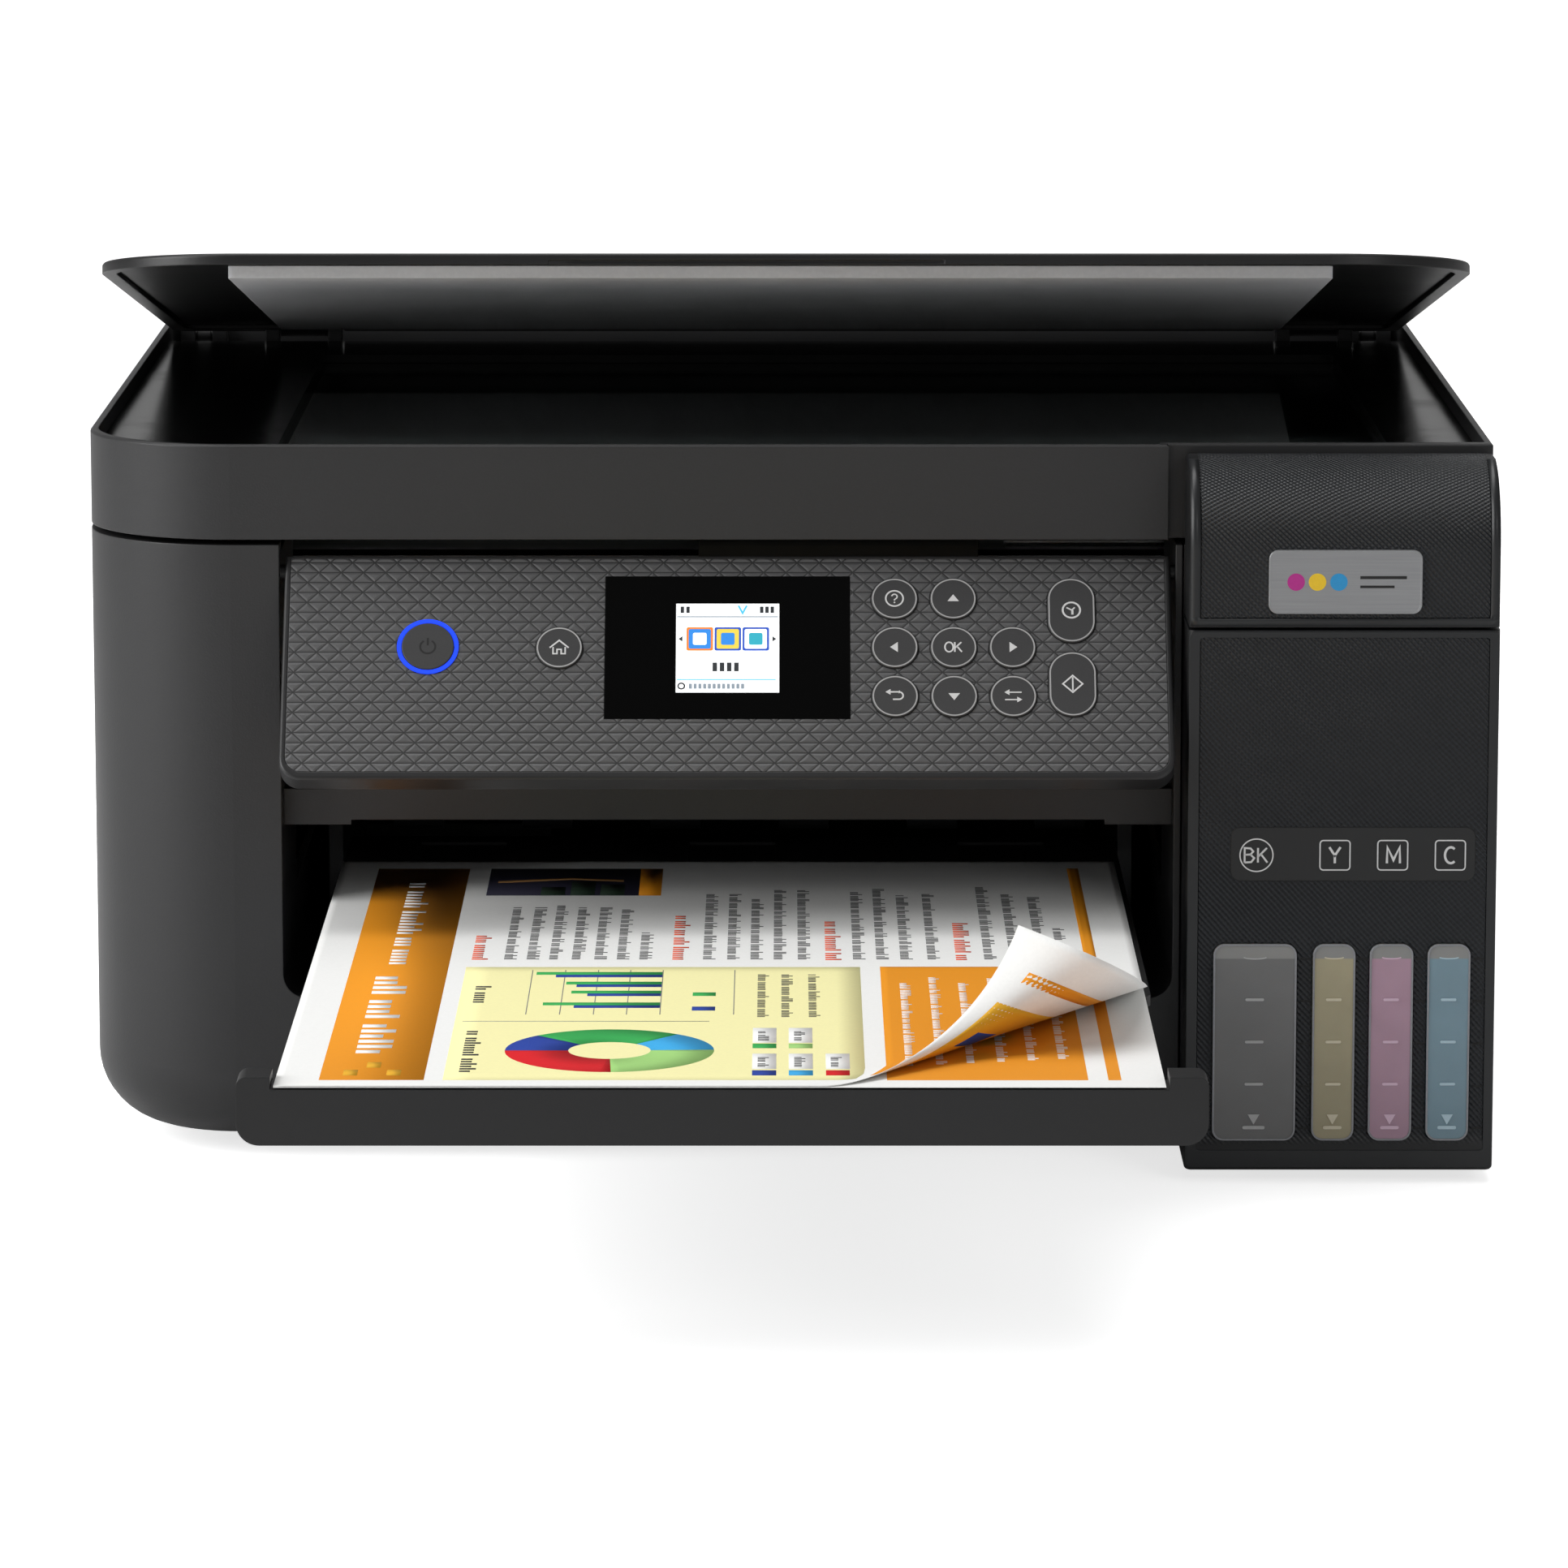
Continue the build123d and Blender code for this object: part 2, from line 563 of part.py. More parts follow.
def tank_cover():
    """Hinged cover over the filler necks, with its badge recess in the front."""
    x = (TANK_X[0] + 0.2, TANK_X[1] - 0.2)
    cover = cover_form(0, x, -0.2)
    end_edges = [edge for edge in cover.edges() if edge.center().Y < -1 and edge.center().Z > TANK_SEAM + 2
                 and abs(edge.center().X - middle(x)) > 30 and edge.length > 5]
    cover = fillet(end_edges, 1.2)
    cover -= cover_form(2.0, (x[0] + 2, x[1] - 2), 1.0)
    cover -= rod_x(COVER_PIN + RUNNING, (x[0] - 1, x[1] + 1), *COVER_HINGE)
    return cover


def badge_plate():
    """Plain metal plate on the cover's front face."""
    plate = block((126.5, 166.7), (TANK_FRONT - 0.7, TANK_FRONT), (153.0, 169.9))
    return fillet(plate.edges().filter_by(Axis.Y), 2.5)


def ink_tubes():
    """Four tubes from the tanks, up and across to the clip where the carriage's loop begins."""
    first_rise_y, spacing = 78.0, 6.0
    top_z, clip_x = 158, 60
    tubes = []
    for number, tank in enumerate(TANKS.values()):
        x = middle(tank["window"])
        rise_y = first_rise_y + spacing * number
        points = [(x, TANK_BACK + 2, TUBE_Z), (x, rise_y, TUBE_Z),
                  (x, rise_y, top_z), (clip_x, rise_y, top_z)]
        path = FilletPolyline(*points, radius=8)
        section = Plane(origin=points[0], z_dir=(0, 1, 0)) * (Circle(TUBE_RADIUS) - Circle(TUBE_BORE_RADIUS))
        tubes.append(sweep(section, path=path))
    return tubes


# ---------------------------------------------------------------- scanner unit
BAND_RIGHT = 101.4            # the front band ends at the tank unit
RIGHT_FRONT = 3.5             # the housing's front behind the tank cover
GLASS_X = (-136.7, 161.8)
GLASS_Y = (15.0, 245.0)
TROUGH_FRONT = 280.0
HINGE_ARMS = ((-152.0, -138.0), (152.0, 166.0))
HINGE_PIN = 1.5
SCAN_ROD_Y, SCAN_ROD_Z = 130.0, 175.0
SCAN_ROD_RADIUS = 3.0
SCAN_ROD_X = (-174.0, 174.0)


def scanner_outline(inset, z):
    """Plan form of the scanner unit, drawn in by inset."""
    body = slab((-HALF_WIDTH + inset, HALF_WIDTH - inset), (inset, SCANNER_BACK - inset), z,
                FRONT_CORNER - inset, 0, 6, 6)
    return body - block((BAND_RIGHT - inset, 200), (-1, RIGHT_FRONT + inset), (0, 300))


def scanner_housing():
    """Tub that holds the bed and the scan bar, with the front band and the rim round the lid."""
    shell = scanner_outline(0, (SCANNER_BOTTOM, RIM_TOP))
    shell = chamfer(shell.faces().sort_by(Axis.Z)[-1].edges(), 0.6)
    shell -= scanner_outline(2.2, (BED_TOP - 2.6, 200))
    shell -= block((-170, 176), (8, TROUGH_FRONT), (SCANNER_BOTTOM + 2, 200))
    shell -= block((-180, 180), (TROUGH_FRONT + 1.5, SCANNER_BACK - 2.2), (BED_TOP - 6, 200))
    for x in HINGE_ARMS:
        for post_x in ((x[0] - 4.4, x[0] - 0.4), (x[1] + 0.4, x[1] + 4.4)):
            post = block(post_x, (283.8, 290.8), (BED_TOP - 6, LID_HINGE[1]))
            shell += post + rod_x(3.5, post_x, *LID_HINGE)
        shell += rod_x(HINGE_PIN, (x[0] - 1, x[1] + 1), *LID_HINGE)
    for x in (-171.5, 171.5):
        shell += block((x - 4, x + 4), (SCAN_ROD_Y - 8, SCAN_ROD_Y + 8), (SCANNER_BOTTOM + 1, 184))
    for x in SCANNER_POSTS:
        shell += hinge_cheeks(x)
        slot_x = (x - POST_HALF - 0.6, x + POST_HALF + 0.6)
        slot_y = (SCANNER_HINGE[0] - 4.5, SCANNER_BACK + 1)
        shell -= block(slot_x, slot_y, (SCANNER_BOTTOM - 1, RIM_TOP + 1))
    return shell - scan_rod()


def scanner_bed_frame():
    """Glossy bed round the glass."""
    bed = scanner_outline(2.3, (BED_TOP - 2.6, BED_TOP))
    bed -= block((-200, 200), (TROUGH_FRONT, 400), (0, 300))
    return bed - block(GLASS_X, GLASS_Y, (0, 300))


def scanner_glass():
    """Pane held under the bed frame, wider than the opening in it."""
    return block(grown(GLASS_X, 6), (GLASS_Y[0] - 4, GLASS_Y[1] + 6), (BED_TOP - 5.6, BED_TOP - 2.6))


def scan_rod():
    return rod_x(SCAN_ROD_RADIUS, SCAN_ROD_X, SCAN_ROD_Y, SCAN_ROD_Z)


def scan_bar():
    """Contact image sensor across the bed, sliding on its rod, parked at the left."""
    bar = block((-160, -140), (14, 248), (178.6, 183.6))
    bar += block((-162, -138), (SCAN_ROD_Y - 12, SCAN_ROD_Y + 12), (171.2, 178.6))
    return bar - rod_x(SCAN_ROD_RADIUS + RUNNING, (-170, -130), SCAN_ROD_Y, SCAN_ROD_Z)


# ---------------------------------------------------------------- lid, modelled closed and set ajar
MAT_X = (-149.5, 146.5)
MAT_Y = (29.0, 250.0)


def ajar(shape):
    """Opens a closed lid piece to its resting angle."""
    return turn_about_x(shape, *LID_HINGE, -LID_AJAR)


def lid_shell():
    z = (LID_UNDERSIDE, LID_UNDERSIDE + LID_THICKNESS)
    x = (-LID_HALF_WIDTH, LID_HALF_WIDTH)
    shell = slab(x, (LID_FRONT, LID_BACK), z, FRONT_CORNER, FRONT_CORNER, 6, 6)
    shell = fillet(shell.faces().sort_by(Axis.Z)[-1].edges(), 1.0)
    border = 4
    corner = FRONT_CORNER - border
    shell -= slab(grown(x, -border), (LID_FRONT + border, LID_BACK - 12), (z[0], z[0] + 1.2),
                  corner, corner, border, border)
    grip = Polyline((-63, -1), (-63, 0.8), (-58, 1.6), (37, 1.6), (42, 0.8), (42, -1), close=True)
    shell -= Pos(0, LID_FRONT, z[0] - 1) * extrude(make_face(grip), 2.2)
    for x in HINGE_ARMS:
        shell -= block((x[0] - 5, x[1] + 5), (283.2, 295), (z[0] - 1, z[1] + 1))
    return ajar(shell)


def document_mat():
    mat = block(MAT_X, MAT_Y, (BED_TOP + 0.4, LID_UNDERSIDE + 1.2))
    mat = fillet(mat.edges().filter_by(Axis.Z), 1.5)
    return ajar(mat)


def lid_hinge_arms():
    """Knuckles that carry the lid on the scanner's hinge pins."""
    arms = []
    for x in HINGE_ARMS:
        arm = rod_x(3.4, x, *LID_HINGE)
        arm += block(x, (283.2, LID_HINGE[0]), (LID_HINGE[1] - 1.6, LID_HINGE[1] + 1.4))
        arms.append(ajar(arm - rod_x(HINGE_PIN + RUNNING, (x[0] - 1, x[1] + 1), *LID_HINGE)))
    return arms


# ---------------------------------------------------------------- control panel, modelled flat
# On the flat panel X stays X, Y runs up the face from its upper edge (so it is negative), Z outwards.
BUTTON_PITCH_X = 15.55
BUTTON_PITCH_Y = 14.6
OK_BUTTON = (44.25, -27.6)
BUTTON_RADIUS = 6.2
BUTTON_PROUD = 0.5
BUTTON_GAP = 0.15
ROUND_BUTTONS = {
    "button_help": (-1, 1),
    "button_up": (0, 1),
    "button_left": (-1, 0),
    "button_ok": (0, 0),
    "button_right": (1, 0),
    "button_back": (-1, -1),
    "button_down": (0, -1),
    "button_settings": (1, -1),
}
HOME_BUTTON = (-59.9, -27.7)
LONG_BUTTONS = {"button_stop": (75.5, -16.5), "button_start": (75.5, -38.6)}
LONG_SIZE = (19.3, 12.7)
POWER_BUTTON = (-94.6, -27.3)
POWER_RADIUS = 6.9
RING_RADII = (7.05, 8.15)
SCREEN_X = (-47.9, 16.9)
SCREEN_Y = (-48.8, -6.1)
LCD_X = (-29.1, -1.8)
LCD_Y = (-41.0, -14.3)


def on_panel(shape):
    """Carries a flat panel piece to its place on the tilted panel."""
    return Pos(0, *PANEL_TOP) * Rot(90 - PANEL_TILT, 0, 0) * shape


def round_place(column, row):
    return OK_BUTTON[0] + column * BUTTON_PITCH_X, OK_BUTTON[1] + row * BUTTON_PITCH_Y


def button_outlines():
    """Every button's name, place and outline, as (name, place, sketch)."""
    rounds = {name: round_place(*step) for name, step in ROUND_BUTTONS.items()}
    rounds["button_home"] = HOME_BUTTON
    outlines = [(name, place, Circle(BUTTON_RADIUS)) for name, place in rounds.items()]
    slot = Rot(0, 0, 90) * SlotOverall(*LONG_SIZE)
    outlines += [(name, place, slot) for name, place in LONG_BUTTONS.items()]
    return outlines


def panel_shell():
    body = block(PANEL_X, (-PANEL_LENGTH, 0), (-PANEL_THICKNESS, 0))
    lower = body.edges().filter_by(Axis.Z).sort_by(Axis.Y)[:2]
    body = fillet(lower, 6)
    rim_edges = body.faces().sort_by(Axis.Z)[-1].edges().filter_by(lambda edge: edge.center().Y < -1)
    body = fillet(rim_edges, 0.8)
    body = fillet(body.faces().sort_by(Axis.Z)[0].edges().sort_by(Axis.Y)[0], 2.5)
    body -= face_form(0.1, (-FACE_THICKNESS, 1))
    body -= block((PANEL_X[0] + 4, PANEL_X[1] - 4), (-PANEL_LENGTH + 5, -3), (-6.6, 0))
    for x in ((PANEL_X[0] - 3.3, PANEL_X[0] + 1), (PANEL_X[1] - 1, PANEL_X[1] + 3.0)):
        body += rod_x(PANEL_PIN_RADIUS, x, -2, -5)
    return on_panel(body)


def face_form(grow, z):
    """The face plate's outline, rounded at its lower corners."""
    x = (PANEL_X[0] + 1.6 - grow, PANEL_X[1] - 1.6 + grow)
    y = (-PANEL_LENGTH + 2.2 - grow, -0.8 + grow)
    form = block(x, y, z)
    return fillet(form.edges().filter_by(Axis.Z).sort_by(Axis.Y)[:2], 4.4 + grow)


def panel_face():
    """Patterned face plate, cut out for the screen, the ring and the buttons."""
    plate = face_form(0, (-FACE_THICKNESS, 0))
    cut = (-3, 1)
    plate -= block(SCREEN_X, SCREEN_Y, cut)
    plate -= rod_z(RING_RADII[1], *POWER_BUTTON, cut)
    for _, place, outline in button_outlines():
        plate -= Pos(*place, cut[0]) * extrude(offset(outline, BUTTON_GAP), cut[1] - cut[0])
    return on_panel(plate)


def button(place, outline, flange_top=-2.0):
    """A key cap that stands proud of the face, with a flange under it that keeps it in."""
    flange_thickness = 1.2
    depth = flange_top - flange_thickness
    cap = extrude(outline, BUTTON_PROUD - depth)
    cap = fillet(cap.faces().sort_by(Axis.Z)[-1].edges(), 0.25)
    cap += extrude(offset(outline, 0.6), flange_thickness)
    return on_panel(Pos(*place, depth) * cap)


def power_ring():
    """Light ring round the power button."""
    ring = rod_z(RING_RADII[1], *POWER_BUTTON, (-3.0, 0.3)) - rod_z(RING_RADII[0], *POWER_BUTTON, (-4, 1))
    return on_panel(ring)


def screen_lens():
    """Glossy window round the display."""
    lens = block(SCREEN_X, SCREEN_Y, (-FACE_THICKNESS, 0.1))
    return on_panel(lens - block(LCD_X, LCD_Y, (-3, 1)))


def lcd_screen():
    """Display module: its frame lies under the face and its picture area fills the lens's opening."""
    panel = block(grown(LCD_X, 2.4), grown(LCD_Y, 2.4), (-5.0, -FACE_THICKNESS))
    return on_panel(panel + block(LCD_X, LCD_Y, (-FACE_THICKNESS, 0)))


# ---------------------------------------------------------------- output tray and sheets
STAGE_ONE_Z = (66.6, 69.4)
STAGE_TWO_Z = (62.8, 66.2)
LIP_X = (-130.8, 100.4)
LIP_Z = (56.4, 70.0)
LIP_DEPTH = 11.0
EAR_TOP = 73.0
SHEET_THICKNESS = 0.3
SHEET_Z = (70.3, 70.3 + SHEET_THICKNESS)


def output_tray():
    """First stage of the tray, with three shallow grooves along it."""
    stage = slab((-122, 92), (-120, 110), STAGE_ONE_Z, 4, 4, 0, 0)
    half_width = 12
    groove_z = (STAGE_ONE_Z[1] - 0.8, STAGE_ONE_Z[1] + 1)
    for x in (-90, -15, 60):
        stage -= block((x - half_width, x + half_width), (-112, 100), groove_z)
    return stage


def tray_extension():
    """Second stage, with the lip that stops the sheets and an ear at each end of it."""
    stage = block((-120, 90), (LIP_FRONT + LIP_DEPTH, -5), STAGE_TWO_Z)
    lip_y = (LIP_FRONT, LIP_FRONT + LIP_DEPTH)
    lip = block(LIP_X, lip_y, LIP_Z)
    for x in ((LIP_X[0], SHEET_X[0] - 0.8), (SHEET_X[1] + 0.8, LIP_X[1])):
        lip += block(x, lip_y, (LIP_Z[1], EAR_TOP))
    for x in LIP_X:
        lip = fillet(lip_edge(lip, x, LIP_Z[0]), 5.5)
        lip = fillet(lip_edge(lip, x, EAR_TOP), 2.5)
    return stage + lip


def lip_edge(lip, x, z):
    """The lip's edge along Y nearest to the place x, z."""
    place = (x, LIP_FRONT + LIP_DEPTH / 2, z)
    return lip.edges().filter_by(Axis.Y).sort_by_distance(place)[0]


def printed_sheets():
    """Two printed sheets lying on the tray."""
    lower = block(SHEET_X, (LIP_FRONT, SHEET_BACK), SHEET_Z)
    upper = block(SHEET_X, (LIP_FRONT, SHEET_BACK), (SHEET_Z[1], SHEET_Z[1] + SHEET_THICKNESS))
    return lower, upper


# ---------------------------------------------------------------- every node
def group(shapes):
    return shapes if isinstance(shapes, (list, tuple)) else [shapes]


SINGLE_NODES = [
    lower_case, base_pan, rubber_feet, case_screws, inner_crossbar, paper_support, feeder_flap,
    guide_frame, guide_rod, carriage_belt, carriage_motor, carriage_pulley, print_carriage, print_head,
    platen, feed_roller, exit_roller, feed_motor, feed_pulley, feed_belt, capping_station,
    main_board, power_supply, tank_housing, tank_caps, tank_cover, badge_plate, ink_tubes,
    scanner_housing, scanner_bed_frame, scanner_glass, scan_rod, scan_bar,
    lid_shell, document_mat, lid_hinge_arms,
    panel_shell, panel_face, power_ring, screen_lens, lcd_screen,
    output_tray, tray_extension, printed_sheets,
]

for make in SINGLE_NODES:
    save(make.__name__, *group(make()))

for colour, tank_sizes in TANKS.items():
    save(f"ink_tank_{colour}", ink_tank(tank_sizes))

for name, place, outline in button_outlines():
    save(name, button(place, outline))
save("button_power", button(POWER_BUTTON, Circle(POWER_RADIUS), flange_top=-3.4))
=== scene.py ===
import json
import random
from math import cos, pi, radians, sin, sqrt

import bpy
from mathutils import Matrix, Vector


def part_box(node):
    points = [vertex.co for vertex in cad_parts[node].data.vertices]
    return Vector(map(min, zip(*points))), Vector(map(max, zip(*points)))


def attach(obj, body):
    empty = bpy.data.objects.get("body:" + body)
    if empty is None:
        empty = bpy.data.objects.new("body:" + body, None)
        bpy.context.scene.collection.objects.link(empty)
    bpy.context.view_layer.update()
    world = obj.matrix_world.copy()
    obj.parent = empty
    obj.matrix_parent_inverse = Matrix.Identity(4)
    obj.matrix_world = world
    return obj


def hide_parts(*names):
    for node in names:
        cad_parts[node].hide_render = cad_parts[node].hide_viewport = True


# Looks of the ink-tank inkjet printer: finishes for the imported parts, and the printed and moulded
# detail that sits on them. Sizes in this file are millimetres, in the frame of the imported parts
# (X to the user's right, Y away, Z up), and they become metres where a mesh is made.
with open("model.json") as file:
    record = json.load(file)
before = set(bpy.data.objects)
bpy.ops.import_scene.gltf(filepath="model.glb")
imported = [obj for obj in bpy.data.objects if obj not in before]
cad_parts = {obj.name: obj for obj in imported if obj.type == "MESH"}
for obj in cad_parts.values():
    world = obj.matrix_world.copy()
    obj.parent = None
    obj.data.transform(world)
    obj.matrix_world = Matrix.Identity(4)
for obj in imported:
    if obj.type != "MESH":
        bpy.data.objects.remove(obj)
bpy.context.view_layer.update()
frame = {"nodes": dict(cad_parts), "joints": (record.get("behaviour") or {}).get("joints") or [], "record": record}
random.seed(383)
MM = 0.001

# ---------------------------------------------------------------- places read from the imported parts
joints = {joint["name"]: joint for joint in frame["joints"]}
PANEL_OUT = -Vector(joints["power_press"]["axis"]).normalized()      # outwards from the panel's face
PANEL_UP = PANEL_OUT.cross(Vector((1, 0, 0)))                        # up the panel's face
FACE_THICKNESS = 1.6
FACE_INSET = 0.8
face_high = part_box("panel_face")[1]
PANEL_ORIGIN = Vector((0, face_high.y + PANEL_OUT.y * FACE_THICKNESS * MM, face_high.z))
PANEL_ORIGIN += PANEL_UP * FACE_INSET * MM

TANK_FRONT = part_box("tank_housing")[0].y / MM
COVER_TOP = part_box("tank_cover")[1].z / MM
COVER_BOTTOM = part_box("tank_cover")[0].z / MM
COVER_ROUND = 22.0
WINDOW_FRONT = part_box("ink_tank_black")[0].y / MM
BADGE_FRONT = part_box("badge_plate")[0].y / MM
sheet_low, sheet_high = (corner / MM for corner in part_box("printed_sheets"))


def on_panel(x, y, height):
    """A place on the control panel: y is up its face from the upper edge, so it is negative."""
    return PANEL_ORIGIN + (Vector((x, 0, 0)) + PANEL_UP * y + PANEL_OUT * height) * MM


def on_tank(x, z, height):
    return Vector((x, TANK_FRONT - height, z)) * MM


def on_window(x, z, height):
    return Vector((x, WINDOW_FRONT - height, z)) * MM


def on_badge(x, z, height):
    return Vector((x, BADGE_FRONT - height, z)) * MM


def on_cover(x, along, height):
    """A place on the tank cover: along runs up the front and then round the curve to the top."""
    bend = COVER_TOP - COVER_ROUND
    if along <= bend:
        return on_tank(x, along, height)
    turn = (along - bend) / COVER_ROUND
    y = TANK_FRONT + COVER_ROUND - (COVER_ROUND + height) * cos(turn)
    return Vector((x, y, bend + (COVER_ROUND + height) * sin(turn))) * MM


# ---------------------------------------------------------------- finishes
def linear(code):
    """A colour written #rrggbb, as the linear values that a shader takes."""
    channels = [int(code[i:i + 2], 16) / 255 for i in (1, 3, 5)]
    return tuple(c / 12.92 if c <= 0.04045 else ((c + 0.055) / 1.055) ** 2.4 for c in channels) + (1,)


def shade(code, factor):
    red, green, blue, _ = linear(code)
    return (min(1, red * factor), min(1, green * factor), min(1, blue * factor), 1)


class Finish:
    """A material, with short ways to add nodes to it."""

    def __init__(self, name, **shader_values):
        self.material = bpy.data.materials.new(name)
        self.material.use_nodes = True
        self.tree = self.material.node_tree
        self.shader = self.tree.nodes["Principled BSDF"]
        self.place = self.add("ShaderNodeTexCoord").outputs["Object"]
        self.geometry = self.add("ShaderNodeNewGeometry")
        for socket, value in shader_values.items():
            self.set(socket.replace("_", " "), value)

    def set(self, socket, value):
        self.feed(self.shader.inputs[socket], value)

    def feed(self, socket, value):
        if isinstance(value, bpy.types.NodeSocket):
            self.tree.links.new(value, socket)
        else:
            socket.default_value = value

    def add(self, kind, inputs=None, **settings):
        node = self.tree.nodes.new(kind)
        for name, value in settings.items():
            setattr(node, name, value)
        for name, value in (inputs or {}).items():
            self.feed(node.inputs[name], value)
        return node

    def math(self, operation, first, second=0.0):
        node = self.add("ShaderNodeMath", operation=operation)
        self.feed(node.inputs[0], first)
        self.feed(node.inputs[1], second)
        return node.outputs[0]

    def scaled(self, value, amount, base):
        """value times amount, plus base."""
        node = self.add("ShaderNodeMath", operation="MULTIPLY_ADD")
        for index, number in enumerate((value, amount, base)):
            self.feed(node.inputs[index], number)
        return node.outputs[0]

    def along(self, direction):
        """How far each point lies along a direction, in metres."""
        node = self.add("ShaderNodeVectorMath", operation="DOT_PRODUCT")
        self.feed(node.inputs[0], self.place)
        self.feed(node.inputs[1], direction)
        return node.outputs["Value"]

    def noise(self, size, detail=2.0):
        """Noise with features about size millimetres across."""
        inputs = {"Vector": self.place, "Scale": 1 / (size * MM), "Detail": detail}
        return self.add("ShaderNodeTexNoise", inputs).outputs[0]

    def step(self, value, low, high):
        """0 below low, 1 above high, and smooth between."""
        node = self.add("ShaderNodeMapRange", interpolation_type="SMOOTHSTEP")
        for name, amount in (("Value", value), ("From Min", low), ("From Max", high)):
            self.feed(node.inputs[name], amount)
        return node.outputs[0]

    def mix(self, factor, first, second):
        node = self.add("ShaderNodeMix", data_type="RGBA")
        for index, value in ((0, factor), (6, first), (7, second)):
            self.feed(node.inputs[index], value)
        return node.outputs[2]

    def bump(self, height, distance, normal=None, strength=1.0):
        node = self.add("ShaderNodeBump", {"Height": height, "Distance": distance * MM, "Strength": strength})
        if normal is not None:
            self.feed(node.inputs["Normal"], normal)
        return node.outputs[0]

    def rounded(self, radius):
        """The surface normal with every sharp edge rounded to a radius, and a mask of those edges."""
        bevel = self.add("ShaderNodeBevel", {"Radius": radius * MM}, samples=6)
        facing = self.add("ShaderNodeVectorMath", operation="DOT_PRODUCT")
        self.feed(facing.inputs[0], bevel.outputs[0])
        self.feed(facing.inputs[1], self.geometry.outputs["Normal"])
        return bevel.outputs[0], self.step(facing.outputs["Value"], 0.995, 0.75)


def moulded(name, code, roughness=0.5, grain=0.5, depth=0.02, edge=1.9, rounding=0.35, **values):
    """Moulded plastic: patchy colour, a fine eroded grain, and edges lighter, partly wear and partly painted
    highlight.
    """
    finish = Finish(name, **values)
    patches = finish.noise(60, 4)
    fine = finish.noise(grain, 2)
    normal, edges = finish.rounded(rounding)
    colour = finish.mix(patches, shade(code, 0.84), shade(code, 1.16))
    speckle = finish.step(fine, 0.35, 0.75)
    colour = finish.mix(finish.math("MULTIPLY", speckle, 0.16), colour, shade(code, 1.7))
    # Lighter edges: partly rubbed wear, partly a painted highlight where the edges catch the light.
    worn_and_highlit = finish.math("MULTIPLY", edges, finish.step(finish.noise(9, 3), 0.2, 0.7))
    colour = finish.mix(worn_and_highlit, colour, shade(code, edge))
    finish.set("Base Color", colour)
    rough = finish.scaled(patches, 0.12, roughness - 0.06)
    finish.set("Roughness", finish.math("SUBTRACT", rough, finish.math("MULTIPLY", worn_and_highlit, 0.08)))
    finish.set("Normal", finish.bump(fine, depth, normal))
    return finish


def glossy(name, code, roughness=0.08, **values):
    """Polished plastic: faint waviness, faint wipe marks, and edges painted lighter as a highlight."""
    finish = Finish(name, **values)
    normal, edges = finish.rounded(0.3)
    wipes = finish.noise(25, 6)
    # Painted highlight: every edge is coloured much lighter.
    finish.set("Base Color", finish.mix(edges, shade(code, 1.0), shade(code, 3.5)))
    finish.set("Roughness", finish.scaled(finish.step(wipes, 0.45, 0.8), 0.07, roughness))
    finish.set("Normal", finish.bump(wipes, 0.01, normal))
    return finish


WEAVE_PITCH = 1.1
TANK_X = (105.6, 187.5)
WEAVE_X = (108.6, 184.8)
WEAVE_Z = (10.0, 146.6, 152.0)    # the weave's bottom and top on the housing, and its start on the cover
RIB_DIRECTIONS = (((0.74, 0.67, 0.67), WEAVE_PITCH), ((0.6, -0.8, -0.8), WEAVE_PITCH * 1.12))


def woven_tank():
    """Moulded plastic with two crossed sets of fine diagonal ribs."""
    finish = moulded("tank_black", "#0b0c0e", 0.4, 0.4, 0.008, 2.6)
    base = finish.shader.inputs["Base Color"].links[0].from_socket
    normal = finish.shader.inputs["Normal"].links[0].from_socket
    wander = finish.math("MULTIPLY", finish.noise(18, 2), 1.5 * MM)
    ribs = []
    for direction, pitch in RIB_DIRECTIONS:
        run = finish.math("ADD", finish.along(direction), wander)
        wave = finish.math("SINE", finish.math("MULTIPLY", run, 2 * pi / (pitch * MM)))
        ribs.append(finish.scaled(wave, 0.5, 0.5))
    weave = finish.math("ADD", ribs[0], finish.math("MULTIPLY", ribs[1], 0.45))
    height = finish.along((0, 0, 1))
    seam = (WEAVE_Z[1] + WEAVE_Z[2]) / 2 * MM
    inside = finish.step(height, WEAVE_Z[0] * MM, (WEAVE_Z[0] + 4) * MM)
    off_seam = finish.step(finish.math("ABSOLUTE", finish.math("SUBTRACT", height, seam)), 2.3 * MM, 2.7 * MM)
    inside = finish.math("MULTIPLY", inside, off_seam)
    for side, sign in zip(WEAVE_X, (1, -1)):
        across = finish.along((sign, 0, 0))
        edge = side * sign
        inside = finish.math("MULTIPLY", inside, finish.step(across, edge * MM, (edge + 0.3) * MM))
    weave = finish.math("MULTIPLY", weave, inside)
    finish.set("Normal", finish.bump(weave, 0.3, normal))
    finish.set("Base Color", finish.mix(finish.math("MULTIPLY", weave, 0.5), base, shade("#2a2e33", 1.0)))
    return finish


LATTICE_ROW = 3.0
LATTICE_BASE = 5.9


